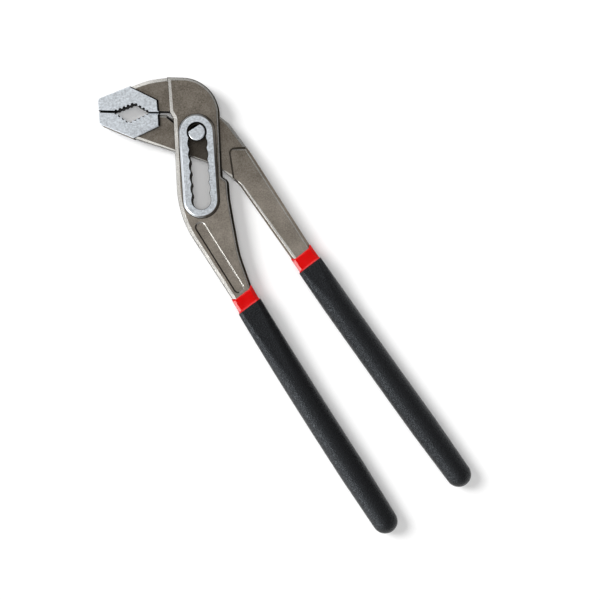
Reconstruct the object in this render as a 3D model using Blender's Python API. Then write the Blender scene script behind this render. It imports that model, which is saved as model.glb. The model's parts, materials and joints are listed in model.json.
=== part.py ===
"""Water pump pliers with a through joint, an adjusting slot and dipped handles, lying on their back.

The origin is on the pivot's axis, in the plane that the tool lies on. +Z runs along the pivot, +Y along the
adjusting slot towards its tightest notch, and +X towards the through arm's handle. Lengths are in metres and
angles in degrees, counted from +X towards +Y.
"""

import math
from collections import namedtuple

import bmesh
import bpy
from mathutils import Vector

# Pivot pin: a round pin with one flat
PIN_RADIUS = 0.00385
PIN_FLAT_OFFSET = 0.0019
PIN_FLAT_ANGLE = 126.0
PIN_RIM = 0.0003
PIN_CLEARANCE = 0.0002

# Adjusting slot, and the ground boss round it on both faces
NOTCH_COUNT = 7
NOTCH_PITCH = 0.00542
NOTCH_DEPTH = 0.00045
BOSS_LAND = 0.0038
BOSS_RISE = 0.0016
BOSS_RIM = 0.0006

# Layers along the pivot: the web of one arm runs between the cheeks of the other
WEB_THICKNESS = 0.0048
WEB_CLEARANCE = 0.0003
CHEEK_THICKNESS = 0.0022
JAW_THICKNESS = 0.0070
PAD_THICKNESS = 0.0092
THROUGH_HANDLE_THICKNESS = 0.0092
FORGED_RIM = 0.0011
WEB_RIM = 0.0007
PAD_RIM = 0.0003

# Bite line of the jaws, and the diamond that grips a pipe
BITE_DISTANCE = 0.0306
BITE_HEIGHT = 0.0118
BITE_ANGLE = -5.0
JAW_GAP = 0.0007
DIAMOND_HALF_LENGTH = 0.0084
DIAMOND_HALF_HEIGHT = 0.0041
DIAMOND_SKEW = 0.0012
TOOTH_PITCH = 0.0022
TOOTH_DEPTH = 0.0006
TOOTH_LEAN_SHARE = 0.3

# Jaws, as heights from the bite line and distances from the pivot
JAW_REACH = 0.0463
JAW_HEIGHT = 0.0122
TIP_HEIGHT = 0.0058
TIP_RADIUS = 0.0020
PAD_BACK_DISTANCE = 0.0175
PAD_BACK_HEIGHT = 0.0059
PAD_CORNER_RADIUS = 0.0010

# Head and handle of the slotted arm
HEAD_MARGIN = 0.0027
HEAD_LEAN_RATIO = 0.02
HEAD_TOP = 0.0276
HEAD_STEP_DISTANCE = 0.0130
CROWN_DROP = 0.0024
CROWN_RADIUS = 0.0180
HEAD_CORNER_RADIUS = 0.0016
SHOULDER_RISE = 0.0105
SHOULDER_STEP = 0.0028
SHOULDER_DROP = 0.0019
HANDLE_HALF_WIDTH = 0.0055
SLOTTED_HANDLE_X = 0.0164
SLOTTED_HANDLE_DROP = 0.0461
SLOTTED_HANDLE_ANGLE = -61.8
SLOTTED_WAIST_X = 0.0163
SLOTTED_WAIST_DROP = 0.0265
WAIST_RADIUS = 0.0600
HEEL_DROP = 0.0031
HEEL_RADIUS = 0.0060
POCKET_LENGTH = 0.0342
POCKET_SETBACK = 0.0034
POCKET_HALF_WIDTH = 0.0023
POCKET_DEPTH = 0.0006

# Web and handle of the through arm
EYE_CROWN = 0.0106
EYE_SHOULDER_X = 0.0155
EYE_SHOULDER_Y = 0.0036
EYE_RADIUS = 0.0070
EYE_BACK_RADIUS = 0.0035
THROAT_DISTANCE = 0.0113
THROAT_HEIGHT = 0.0074
THROAT_RADIUS = 0.0018
WEB_HEEL_X = 0.0080
WEB_HEEL_Y = -0.0160
WEB_HEEL_RADIUS = 0.0200
HAND_CROOK_X = 0.0183
HAND_CROOK_Y = -0.0260
CROOK_RADIUS = 0.0120
BACK_BEND_X = 0.0250
BACK_BEND_Y = -0.0113
BEND_RADIUS = 0.0250
RAISED_LEFT = 0.0164
RAISED_TOP = -0.0094
RAISED_RADIUS = 0.0013
THROUGH_HANDLE_X = 0.0456
THROUGH_HANDLE_Y = -0.06035
THROUGH_HANDLE_ANGLE = -58.5
OPENING_ANGLE = 60.0

# Tangs and their dipped coats
TANG_HALF_WIDTH = 0.0040
TANG_HALF_THICKNESS = 0.0038
TANG_ROOT = 0.0120
COAT_CLEARANCE = 0.00025
RING_LENGTH = 0.0080
RED_LIP_WALL = 0.0015
RED_WALL = 0.00075
BLACK_LIP_WALL = 0.0012
BLACK_WALL = 0.0014
BLACK_TIP_WALL = 0.0008
BLACK_SWELL_LENGTH = 0.0200
BLACK_TAPER_LENGTH = 0.0350
SLOTTED_GRIP_LENGTH = 0.1353
SLOTTED_BOW = 0.0008
THROUGH_GRIP_LENGTH = 0.1376
THROUGH_BOW = 0.00035
END_WALL = 0.0030

# Fineness of the round stretches
ARC_ANGLE = 11.0
PIN_SIDES = 32
COAT_SIDES = 24
COAT_STEP = 0.0200
COAT_END_RINGS = 5
COAT_CORNER_RATIO = 3.0

# Layers of one piece overlap by this much where they join, so that no two faces lie in one plane
SEAM = 0.0002

# Finishes, each a colour, a roughness and a share of metal
FORGED_STEEL = ((0.19, 0.17, 0.145), 0.45, 1.0)
GROUND_STEEL = ((0.55, 0.57, 0.60), 0.35, 1.0)
RED_DIP = ((0.72, 0.01, 0.01), 0.2, 0.0)
BLACK_DIP = ((0.012, 0.012, 0.014), 0.6, 0.0)
SHARP_ANGLE = 35.0

SLOT_TRAVEL = NOTCH_PITCH * (NOTCH_COUNT - 1)
CHANNEL_HALF_WIDTH = PIN_RADIUS + PIN_CLEARANCE
NOTCH_RADIUS = CHANNEL_HALF_WIDTH + NOTCH_DEPTH
BOSS_RADIUS = NOTCH_RADIUS + BOSS_LAND
WINDOW_THICKNESS = WEB_THICKNESS + 2 * WEB_CLEARANCE
HEAD_THICKNESS = WINDOW_THICKNESS + 2 * CHEEK_THICKNESS
TOTAL_THICKNESS = HEAD_THICKNESS + 2 * BOSS_RISE
MID_HEIGHT = TOTAL_THICKNESS / 2
HEAD_HALF_WIDTH = BOSS_RADIUS + HEAD_MARGIN
FAR_OUT = JAW_REACH + HEAD_HALF_WIDTH

Handle = namedtuple("Handle", "start angle grip_length bow")


def direction(angle):
    """The unit vector in the plane of the tool at an angle in degrees."""
    return Vector((math.cos(math.radians(angle)), math.sin(math.radians(angle))))


def turned(point, angle):
    """A point turned about the pivot."""
    along = direction(angle)
    return Vector((along.x * point.x - along.y * point.y, along.y * point.x + along.x * point.y))


def meet(first, second):
    """The point where two lines cross, each given by two points."""
    along = first[1] - first[0]
    other = second[1] - second[0]
    offset = second[0] - first[0]
    share = (offset.x * other.y - offset.y * other.x) / (along.x * other.y - along.y * other.x)
    return first[0] + along * share


def shifted(line, distance):
    """A line of two points moved sideways, to the right of the way it runs."""
    along = (line[1] - line[0]).normalized()
    side = Vector((along.y, -along.x)) * distance
    return [line[0] + side, line[1] + side]


def bite_point(x, height):
    """The point at x that lies a height above the middle of the gap between the jaws."""
    slope = math.tan(math.radians(BITE_ANGLE))
    return Vector((x, BITE_HEIGHT + slope * (x + BITE_DISTANCE) + height))


def head_edge(side, y):
    """The x of the head's right (1) or left (-1) edge, which leans a little from the slot."""
    return side * HEAD_HALF_WIDTH + HEAD_LEAN_RATIO * y


def arc(centre, radius, first, last):
    """Points along an arc from one angle to another, both ends included."""
    count = max(1, math.ceil(abs(last - first) / ARC_ANGLE))
    return [centre + direction(first + (last - first) * step / count) * radius for step in range(count + 1)]


def rounded(corners):
    """An outline with each corner (point, radius) rounded by an arc."""
    points = []
    for index, (corner, radius) in enumerate(corners):
        corner = Vector(corner)
        if radius == 0:
            points.append(corner)
            continue
        before = (Vector(corners[index - 1][0]) - corner).normalized()
        after = (Vector(corners[(index + 1) % len(corners)][0]) - corner).normalized()
        half = before.angle(after) / 2
        centre = corner + (before + after).normalized() * radius / math.sin(half)
        start = corner + before * radius / math.tan(half) - centre
        sweep = math.degrees(start.angle_signed(corner + after * radius / math.tan(half) - centre))
        first = math.degrees(math.atan2(start.y, start.x))
        points += arc(centre, radius, first, first - sweep)
    return points


def counter_clockwise(points):
    """The outline in counter-clockwise order."""
    area = sum(points[i - 1].x * points[i].y - points[i].x * points[i - 1].y for i in range(len(points)))
    return points if area > 0 else points[::-1]


def drawn_in(points, distance):
    """A counter-clockwise outline with every side moved inwards by a distance."""
    moved = []
    for index, point in enumerate(points):
        before = (point - points[index - 1]).normalized()
        after = (points[(index + 1) % len(points)] - point).normalized()
        normal = (Vector((-before.y, before.x)) + Vector((-after.y, after.x))).normalized()
        moved.append(point + normal * distance / normal.dot(Vector((-after.y, after.x))))
    return moved


def mesh_object(name, rings):
    """A closed body from rings of points, with flat ends on the first and last."""
    bm = bmesh.new()
    loops = [[bm.verts.new(point) for point in ring] for ring in rings]
    for lower, upper in zip(loops, loops[1:]):
        for i in range(len(lower)):
            bm.faces.new((lower[i - 1], lower[i], upper[i], upper[i - 1]))
    bm.faces.new(loops[0][::-1])
    bm.faces.new(loops[-1])
    bmesh.ops.recalc_face_normals(bm, faces=bm.faces)
    mesh = bpy.data.meshes.new(name)
    bm.to_mesh(mesh)
    bm.free()
    body = bpy.data.objects.new(name, mesh)
    bpy.context.collection.objects.link(body)
    return body


def slab(name, points, low, high, rim=0.0):
    """A plate from an outline, between two heights, with its rims chamfered."""
    points = counter_clockwise(points)
    layers = [(points, low), (points, high)]
    if rim:
        inner = drawn_in(points, rim)
        layers = [(inner, low), (points, low + rim), (points, high - rim), (inner, high)]
    return mesh_object(name, [[(p.x, p.y, z) for p in ring] for ring, z in layers])


def centred_slab(name, points, thickness, rim=0.0):
    """A plate about the middle plane of the tool."""
    return slab(name, points, MID_HEIGHT - thickness / 2, MID_HEIGHT + thickness / 2, rim)


def combine(body, tool, operation):
    """Joins or cuts a body with a tool, and removes the tool."""
    modifier = body.modifiers.new(operation.lower(), "BOOLEAN")
    modifier.operation = operation
    modifier.solver = "EXACT"
    modifier.object = tool
    bpy.context.view_layer.update()
    evaluated = body.evaluated_get(bpy.context.evaluated_depsgraph_get())
    result = bpy.data.meshes.new_from_object(evaluated)
    body.modifiers.clear()
    body.data = result
    bpy.data.objects.remove(tool)


def finish(body, colour, roughness, metallic):
    """Gives a piece its own material, and smooth shading between its sharp edges."""
    material = bpy.data.materials.new(body.name)
    material.use_nodes = True
    shader = material.node_tree.nodes["Principled BSDF"]
    shader.inputs["Base Color"].default_value = (*colour, 1.0)
    shader.inputs["Roughness"].default_value = roughness
    shader.inputs["Metallic"].default_value = metallic
    body.data.materials.clear()
    body.data.materials.append(material)
    body.data.shade_smooth()
    body.data.set_sharp_from_angle(angle=math.radians(SHARP_ANGLE))


def stadium(first, last, radius):
    """The outline of a slot with round ends about two centres."""
    along = math.degrees(math.atan2(last.y - first.y, last.x - first.x))
    return arc(first, radius, along + 270, along + 90) + arc(last, radius, along + 90, along - 90)


def notched_slot():
    """The outline of the adjusting slot: a clear channel with a row of round notches."""
    half = math.degrees(math.acos(CHANNEL_HALF_WIDTH / NOTCH_RADIUS))
    top, *middle, bottom = [Vector((0, -NOTCH_PITCH * notch)) for notch in range(NOTCH_COUNT)]
    points = arc(top, NOTCH_RADIUS, 180 + half, -half)
    for centre in middle:
        points += arc(centre, NOTCH_RADIUS, half, -half)
    points += arc(bottom, NOTCH_RADIUS, half, -180 - half)
    for centre in reversed(middle):
        points += arc(centre, NOTCH_RADIUS, 180 + half, 180 - half)
    return points


def toothed_notch(side):
    """The outline of the toothed V in one jaw: the upper (1) or the lower (-1)."""
    slope = direction(BITE_ANGLE)
    rise = Vector((-slope.y, slope.x))
    centre = bite_point(-BITE_DISTANCE, 0)

    def place(along, up):
        return centre + (slope * along + rise * up) * side

    start = place(-DIAMOND_HALF_LENGTH, 0)
    apex = place(DIAMOND_SKEW, DIAMOND_HALF_HEIGHT)
    end = place(DIAMOND_HALF_LENGTH, 0)
    points = []
    for first, last in ((start, apex), (apex, end)):
        run = last - first
        outward = Vector((-run.y, run.x)).normalized() * TOOTH_DEPTH
        count = max(1, round(run.length / TOOTH_PITCH))
        for tooth in range(count):
            points.append(first + run * tooth / count)
            points.append(first + run * (tooth + TOOTH_LEAN_SHARE) / count + outward)
    points.append(end)
    points.append(place(DIAMOND_HALF_LENGTH, -JAW_GAP))
    points.append(place(-DIAMOND_HALF_LENGTH, -JAW_GAP))
    return points


def jaw_pad(name, side):
    """The thick ground pad of one jaw, the upper (1) or the lower (-1), with its toothed V."""
    gap = side * JAW_GAP / 2
    corners = [
        (bite_point(-JAW_REACH, gap), 0),
        (bite_point(-JAW_REACH, gap + side * TIP_HEIGHT), TIP_RADIUS),
        (pad_peak(side), 0),
        (bite_point(-PAD_BACK_DISTANCE, gap + side * PAD_BACK_HEIGHT), PAD_CORNER_RADIUS),
        (bite_point(-PAD_BACK_DISTANCE, gap), 0),
    ]
    pad = centred_slab(name, rounded(corners), PAD_THICKNESS, PAD_RIM)
    combine(pad, centred_slab("teeth", toothed_notch(side), TOTAL_THICKNESS), "DIFFERENCE")
    return pad


def pad_peak(side):
    """The corner of a jaw that stands furthest from the bite line."""
    return bite_point(-BITE_DISTANCE, side * (JAW_GAP / 2 + JAW_HEIGHT))


def slotted_handle():
    """The slotted arm's handle, from the middle of the section where its coats begin."""
    start = Vector((SLOTTED_HANDLE_X, -SLOT_TRAVEL - SLOTTED_HANDLE_DROP))
    return Handle(start, SLOTTED_HANDLE_ANGLE, SLOTTED_GRIP_LENGTH, SLOTTED_BOW)


def through_handle():
    """The through arm's handle, from the middle of the section where its coats begin."""
    start = Vector((THROUGH_HANDLE_X, THROUGH_HANDLE_Y))
    return Handle(start, THROUGH_HANDLE_ANGLE, THROUGH_GRIP_LENGTH, THROUGH_BOW)


def handle_end(handle):
    """The left and right corners where a handle runs into its coats."""
    across = direction(handle.angle + 90) * HANDLE_HALF_WIDTH
    return handle.start - across, handle.start + across


def section(distance, size):
    """A section of a tang or coat: its distance along the handle, half width and half thickness."""
    return distance, TANG_HALF_WIDTH + size, TANG_HALF_THICKNESS + size


def round_end(length, size):
    """Sections that close a tang or coat in a round end, from its full size to its tip."""
    full, half_width, half_thickness = section(length, size)
    sections = []
    for step in range(COAT_END_RINGS):
        turn = direction(90 * step / COAT_END_RINGS)
        sections.append((full - half_width * (1 - turn.y), half_width * turn.x, half_thickness * turn.x))
    sections.append((full, half_width * turn.x / 2, half_thickness * turn.x / 2))
    return sections


def section_ring(handle, distance, half_width, half_thickness):
    """The points of a section, square with rounded corners, on the handle's bowed centre line."""
    share = min(max(distance / handle.grip_length, 0), 1)
    shift = handle.bow * math.sin(math.pi * share)
    power = 2 / COAT_CORNER_RATIO
    points = []
    for side in range(COAT_SIDES):
        turn = direction(360 * side / COAT_SIDES)
        y = math.copysign(abs(turn.x) ** power, turn.x) * half_width - shift
        z = math.copysign(abs(turn.y) ** power, turn.y) * half_thickness
        points.append((distance, y, z))
    return points


def handle_body(name, handle, sections):
    """A body that runs through sections along a handle."""
    rings = [section_ring(handle, *sections[0])]
    for first, last in zip(sections, sections[1:]):
        count = max(1, math.ceil(abs(last[0] - first[0]) / COAT_STEP))
        for step in range(1, count + 1):
            between = [start + (end - start) * step / count for start, end in zip(first, last)]
            rings.append(section_ring(handle, *between))
    body = mesh_object(name, rings)
    body.location = (handle.start.x, handle.start.y, MID_HEIGHT)
    body.rotation_euler = (0, 0, math.radians(handle.angle))
    return body


def tang(handle):
    """The bar of steel inside the coats, rooted in the handle."""
    inside = END_WALL + COAT_CLEARANCE + RED_WALL + COAT_CLEARANCE
    return handle_body("tang", handle, [section(-TANG_ROOT, 0), *round_end(handle.grip_length - inside, 0)])


def red_coat(name, handle):
    """The first dip: a closed sleeve on the tang, thick where it shows as a ring."""
    bore = COAT_CLEARANCE
    end = handle.grip_length - END_WALL - COAT_CLEARANCE
    return handle_body(name, handle, [
        *round_end(end - RED_WALL, bore)[::-1],
        section(COAT_CLEARANCE, bore),
        section(COAT_CLEARANCE, bore + RED_LIP_WALL),
        section(RING_LENGTH, bore + RED_LIP_WALL),
        section(RING_LENGTH, bore + RED_WALL),
        *round_end(end, bore + RED_WALL),
    ])


def black_grip(name, handle):
    """The second dip: a closed sleeve over the red one, which swells behind its lip and thins to its tip."""
    bore = COAT_CLEARANCE + RED_WALL + COAT_CLEARANCE
    begin = RING_LENGTH + COAT_CLEARANCE
    return handle_body(name, handle, [
        *round_end(handle.grip_length - END_WALL, bore)[::-1],
        section(begin, bore),
        section(begin, bore + BLACK_LIP_WALL),
        section(begin + BLACK_SWELL_LENGTH, bore + BLACK_WALL),
        section(handle.grip_length - BLACK_TAPER_LENGTH, bore + BLACK_WALL),
        *round_end(handle.grip_length, bore + BLACK_TIP_WALL),
    ])


def web_lower_edge():
    """The lower edge of the through arm's web, from the lower jaw to its heel."""
    return [pad_peak(-1) + Vector((-SEAM, SEAM)) * 2, Vector((WEB_HEEL_X, WEB_HEEL_Y))]


def web_heel_edge():
    """The edge of the through arm's web from its heel to the crook of the handle."""
    return [Vector((WEB_HEEL_X, WEB_HEEL_Y)), Vector((HAND_CROOK_X, HAND_CROOK_Y))]


def web_back_edge():
    """The edge of the through arm's web from the bend of its back up to the eye's shoulder."""
    return [Vector((BACK_BEND_X, BACK_BEND_Y)), Vector((EYE_SHOULDER_X, EYE_SHOULDER_Y))]


def window():
    """The outline between the cheeks that the web needs, in every notch and at every opening."""
    lowered = Vector((0, -SLOT_TRAVEL))
    closed_floor = shifted([point + lowered for point in web_lower_edge()], WEB_CLEARANCE)
    heel_floor = shifted([point + lowered for point in web_heel_edge()], WEB_CLEARANCE)
    opened = [turned(point, OPENING_ANGLE) + lowered for point in web_lower_edge()]
    open_floor = shifted(opened, WEB_CLEARANCE)
    roof = shifted([turned(point, OPENING_ANGLE) for point in web_back_edge()], WEB_CLEARANCE)
    shoulder = turned(Vector((EYE_SHOULDER_X, EYE_SHOULDER_Y)), OPENING_ANGLE)
    radius = shoulder.length + WEB_CLEARANCE
    left = [Vector((-FAR_OUT, 0)), Vector((-FAR_OUT, 1))]
    right = [Vector((FAR_OUT, 0)), Vector((FAR_OUT, 1))]
    first = math.degrees(math.atan2(shoulder.y, shoulder.x))
    bite = bite_point(-HEAD_STEP_DISTANCE, JAW_GAP / 2 - SEAM).y
    last = 180 - math.degrees(math.asin(bite / radius))
    corners = [
        (meet(open_floor, left), 0),
        (meet(open_floor, closed_floor), 0),
        (meet(closed_floor, heel_floor), WEB_HEEL_RADIUS - WEB_CLEARANCE),
        (meet(heel_floor, right), 0),
        (meet(roof, right), 0),
    ]
    corners.extend((point, 0) for point in arc(Vector((0, 0)), radius, first, last))
    corners.append((Vector((-FAR_OUT, bite)), 0))
    return rounded(corners)


def head_outline():
    """The outline of the slotted arm's head and handle, behind the step of the jaw."""
    left_end, right_end = handle_end(slotted_handle())
    slot_end = -SLOT_TRAVEL
    shoulder = slot_end + SHOULDER_RISE
    heel = slot_end - HEEL_DROP
    bite = bite_point(-HEAD_STEP_DISTANCE, JAW_GAP / 2)
    right = head_edge(1, shoulder)
    crown = HEAD_TOP - CROWN_DROP
    return rounded([
        (bite, HEAD_CORNER_RADIUS),
        ((-HEAD_STEP_DISTANCE, HEAD_TOP), HEAD_CORNER_RADIUS),
        ((head_edge(1, crown), crown), CROWN_RADIUS),
        ((right, shoulder), HEAD_CORNER_RADIUS),
        ((right + SHOULDER_STEP, shoulder - SHOULDER_DROP), HEAD_CORNER_RADIUS),
        ((right + SHOULDER_STEP, slot_end), WAIST_RADIUS),
        ((SLOTTED_WAIST_X, slot_end - SLOTTED_WAIST_DROP), WAIST_RADIUS),
        (right_end, 0),
        (left_end, 0),
        ((head_edge(-1, heel), heel), HEEL_RADIUS),
        ((head_edge(-1, THROAT_HEIGHT), THROAT_HEIGHT), HEAD_CORNER_RADIUS),
    ])


def upper_jaw_outline():
    """The outline of the upper jaw between its pad and the head."""
    peak = pad_peak(1)
    inside_pad = bite_point(-PAD_BACK_DISTANCE - PAD_BACK_HEIGHT / 2, TIP_HEIGHT)
    inside_head = FORGED_RIM + HEAD_CORNER_RADIUS - HEAD_STEP_DISTANCE
    return [
        peak + Vector((-SEAM, -SEAM)) * 2,
        Vector((-HEAD_STEP_DISTANCE, HEAD_TOP - SEAM)),
        Vector((inside_head, HEAD_TOP - FORGED_RIM - CROWN_DROP)),
        Vector((inside_head, bite_point(-HEAD_STEP_DISTANCE, JAW_HEIGHT / 2).y)),
        bite_point(-HEAD_STEP_DISTANCE + FORGED_RIM, JAW_GAP / 2 + HEAD_CORNER_RADIUS),
        bite_point(-HEAD_STEP_DISTANCE, JAW_GAP / 2 + SEAM),
        bite_point(-PAD_BACK_DISTANCE - SEAM, JAW_GAP / 2 + SEAM),
        inside_pad,
    ]


def slotted_arm():
    """The forging with the upper jaw, the slotted head, the window and the left-hand handle."""
    arm = centred_slab("slotted_arm", head_outline(), HEAD_THICKNESS, FORGED_RIM)
    combine(arm, centred_slab("jaw", upper_jaw_outline(), JAW_THICKNESS), "UNION")
    combine(arm, jaw_pad("pad", 1), "UNION")
    slot_end = Vector((0, -SLOT_TRAVEL))
    boss = stadium(Vector((0, 0)), slot_end, BOSS_RADIUS)
    combine(arm, centred_slab("boss", boss, TOTAL_THICKNESS, BOSS_RIM), "UNION")
    handle = slotted_handle()
    combine(arm, tang(handle), "UNION")
    combine(arm, centred_slab("window", window(), WINDOW_THICKNESS), "DIFFERENCE")
    combine(arm, centred_slab("slot", notched_slot(), TOTAL_THICKNESS + 2 * BOSS_RISE), "DIFFERENCE")
    along = direction(handle.angle)
    near = handle.start - along * POCKET_SETBACK
    far = near - along * POCKET_LENGTH
    face = MID_HEIGHT + HEAD_THICKNESS / 2
    pocket = slab("pocket", stadium(far, near, POCKET_HALF_WIDTH), face - POCKET_DEPTH, face + POCKET_DEPTH)
    combine(arm, pocket, "DIFFERENCE")
    return arm


def web_outline():
    """The outline of the through arm's thin layer: lower jaw, web, eye and the root of its handle."""
    lower_start, heel = web_lower_edge()
    inside_pad = bite_point(-PAD_BACK_DISTANCE - PAD_BACK_HEIGHT / 2, -TIP_HEIGHT / 2)
    crook = Vector((HAND_CROOK_X, HAND_CROOK_Y))
    bend = Vector((BACK_BEND_X, BACK_BEND_Y))
    root = (crook + bend) / 2 + direction(THROUGH_HANDLE_ANGLE) * HANDLE_HALF_WIDTH
    return rounded([
        (lower_start, 0),
        (heel, WEB_HEEL_RADIUS),
        (crook, 0),
        (root, 0),
        (bend, 0),
        ((EYE_SHOULDER_X, EYE_SHOULDER_Y), EYE_RADIUS),
        ((PIN_RADIUS + EYE_BACK_RADIUS, EYE_CROWN), EYE_RADIUS),
        ((-PIN_RADIUS - EYE_BACK_RADIUS, EYE_CROWN), EYE_BACK_RADIUS),
        ((-THROAT_DISTANCE, THROAT_HEIGHT), THROAT_RADIUS),
        (bite_point(-HEAD_STEP_DISTANCE - SEAM, -JAW_GAP / 2 - SEAM), THROAT_RADIUS),
        (bite_point(-PAD_BACK_DISTANCE - SEAM, -JAW_GAP / 2 - SEAM), 0),
        (inside_pad, 0),
    ])


def through_handle_outline():
    """The outline of the through arm's raised handle, from its step to the coats."""
    left_end, right_end = handle_end(through_handle())
    crook = Vector((HAND_CROOK_X, HAND_CROOK_Y))
    bend = Vector((BACK_BEND_X, BACK_BEND_Y))
    top = [Vector((0, RAISED_TOP)), Vector((1, RAISED_TOP))]
    left = [Vector((RAISED_LEFT, 0)), Vector((RAISED_LEFT, 1))]
    return rounded([
        (meet(left, top), RAISED_RADIUS),
        (meet(left, web_heel_edge()), RAISED_RADIUS),
        (crook, CROOK_RADIUS),
        (left_end, 0),
        (right_end, 0),
        (bend, BEND_RADIUS),
        (meet(top, web_back_edge()), 0),
    ])


def through_arm():
    """The forging with the lower jaw, the web through the window, the eye and the right-hand handle."""
    arm = centred_slab("through_arm", web_outline(), WEB_THICKNESS, WEB_RIM)
    combine(arm, jaw_pad("pad", -1), "UNION")
    handle = centred_slab("handle", through_handle_outline(), THROUGH_HANDLE_THICKNESS, FORGED_RIM)
    combine(arm, handle, "UNION")
    combine(arm, tang(through_handle()), "UNION")
    eye = [direction(360 * side / PIN_SIDES) * (PIN_RADIUS + PIN_CLEARANCE) for side in range(PIN_SIDES)]
    combine(arm, centred_slab("eye", eye, TOTAL_THICKNESS), "DIFFERENCE")
    return arm


def pivot_pin():
    """The pivot: a round pin with one flat along it, flush with the boss on both faces."""
    half = math.degrees(math.acos(PIN_FLAT_OFFSET / PIN_RADIUS))
    first = PIN_FLAT_ANGLE + half
    sweep = 360 - 2 * half
    points = [direction(first + sweep * side / PIN_SIDES) * PIN_RADIUS for side in range(PIN_SIDES + 1)]
    return slab("pivot_pin", points, 0.0, TOTAL_THICKNESS, PIN_RIM)


def main():
    """Builds every piece, finishes it and hangs what moves on the pivot's axis."""
    for old in list(bpy.data.objects):
        bpy.data.objects.remove(old)
    pin = pivot_pin()
    arm = through_arm()
    ring = red_coat("through_arm_red_coat", through_handle())
    grip = black_grip("through_arm_black_grip", through_handle())
    finish(slotted_arm(), *FORGED_STEEL)
    finish(red_coat("slotted_arm_red_coat", slotted_handle()), *RED_DIP)
    finish(black_grip("slotted_arm_black_grip", slotted_handle()), *BLACK_DIP)
    finish(pin, *GROUND_STEEL)
    finish(arm, *FORGED_STEEL)
    finish(ring, *RED_DIP)
    finish(grip, *BLACK_DIP)
    axis = bpy.data.objects.new("pivot_axis", None)
    bpy.context.collection.objects.link(axis)
    for piece in (pin, arm, ring, grip):
        piece.parent = axis


if __name__ == "__main__":
    main()
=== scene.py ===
"""The visible water pump pliers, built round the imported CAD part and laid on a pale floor.

Lengths are in metres and angles in degrees, counted from +X towards +Y. The tool lies in the plane of the
floor with the pivot's axis through the origin.
"""

import json
import logging
import math
from dataclasses import dataclass, replace
from enum import Enum
from typing import Sequence

import bmesh
import bpy
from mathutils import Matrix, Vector


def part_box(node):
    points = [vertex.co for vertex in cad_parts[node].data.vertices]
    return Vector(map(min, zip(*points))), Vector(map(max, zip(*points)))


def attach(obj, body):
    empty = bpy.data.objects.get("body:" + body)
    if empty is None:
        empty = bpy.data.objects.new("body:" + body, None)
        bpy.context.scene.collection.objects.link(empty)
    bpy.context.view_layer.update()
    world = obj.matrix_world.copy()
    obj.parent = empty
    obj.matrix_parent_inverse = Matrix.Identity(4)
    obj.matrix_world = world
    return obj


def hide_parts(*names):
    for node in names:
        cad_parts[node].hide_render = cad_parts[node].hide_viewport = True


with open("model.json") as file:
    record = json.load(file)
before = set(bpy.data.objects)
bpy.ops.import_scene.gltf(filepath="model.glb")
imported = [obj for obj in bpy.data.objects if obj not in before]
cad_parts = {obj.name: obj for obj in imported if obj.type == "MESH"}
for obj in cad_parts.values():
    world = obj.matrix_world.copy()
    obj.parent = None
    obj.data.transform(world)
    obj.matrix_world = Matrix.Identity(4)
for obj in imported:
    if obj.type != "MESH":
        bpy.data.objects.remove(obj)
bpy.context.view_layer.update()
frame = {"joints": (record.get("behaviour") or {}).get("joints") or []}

Piece = bpy.types.Object
Material = bpy.types.Material
Node = bpy.types.Node
Socket = bpy.types.NodeSocket
Corner = tuple[Vector, float]
Line = tuple[Vector, Vector]
Pair = tuple[float, float]
Triple = tuple[float, float, float]
Table = tuple[Pair, ...]

LOG = logging.getLogger("pliers")
MID_HEIGHT = float(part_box("slotted_arm")[0][2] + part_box("slotted_arm")[1][2]) / 2
JOINTS = {joint["name"]: joint for joint in frame["joints"]}
SLOT_TRAVEL = float(JOINTS["slot_slide"]["range_m"][1])
OPENING_ANGLE = float(JOINTS["jaw_hinge"]["range_deg"][1])

# Layers of one piece overlap by the seam
SEAM = 0.0002

# Fineness of round stretches
ARC_ANGLE = 4.0
RIM_STEPS = 4
SECTION_STEPS = 5
GULLET_STEPS = 10

# Edges sharper than the first angle stay sharp, and faces warped by more than the second are split
SHARP_ANGLE = 28.0
FLAT_ANGLE = 0.05

# Values that nearly all of a noise lies between, and the tones that a plain pattern is drawn in
NOISE_REACH = (0.3, 0.7)
TONE_SPAN = (0.2, 0.8)
WHITE = (1.0, 1.0, 1.0, 1.0)
ALIKE = (1.0, 1.0, 1.0)


class Zone(Enum):
    """The finish of a face on a steel piece, by its place in the piece's list of materials."""

    BLASTED = 0
    GROUND = 1
    # Cut faces, near-black: painted shade in notches and holes
    CUT = 2
    EDGE = 3
    # Walls, grooves and recesses in the dark wall finish: painted shade
    WALL = 4
    # The boss's slope, with light and shade painted on it by the way each face turns
    FLANK = 5


class Jaw(Enum):
    """One of the two jaws, by the side of the bite line that it lies on."""

    UPPER = 1
    LOWER = -1


class Joining(Enum):
    """What a tool does to the piece it meets."""

    ADD = "UNION"
    CUT = "DIFFERENCE"


def spot(x: float, y: float) -> Vector:
    """Returns a point in the plane of the tool."""
    return Vector((x, y))


def heading(angle: float) -> Vector:
    """Returns the unit vector in the plane of the tool at an angle."""
    return spot(math.cos(math.radians(angle)), math.sin(math.radians(angle)))


def left_of(way: Vector) -> Vector:
    """Returns a way turned by a right angle to the left."""
    return spot(-way.y, way.x)


def turned(point: Vector, angle: float) -> Vector:
    """Returns a point turned about the pivot."""
    along = heading(angle)
    return spot(along.x * point.x - along.y * point.y, along.y * point.x + along.x * point.y)


def crossing(first: Line, second: Line) -> Vector:
    """Returns the point where two lines cross.

    Args:
        first: Two points of one line.
        second: Two points of the other line.

    Returns:
        The crossing, which may lie beyond the given points.
    """
    along = first[1] - first[0]
    other = second[1] - second[0]
    offset = second[0] - first[0]
    share = (offset.x * other.y - offset.y * other.x) / (along.x * other.y - along.y * other.x)
    return first[0] + along * share


def beside(line: Line, distance: float) -> Line:
    """Returns a line moved to the right of the way it runs."""
    side = left_of((line[1] - line[0]).normalized()) * -distance
    return line[0] + side, line[1] + side


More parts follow.
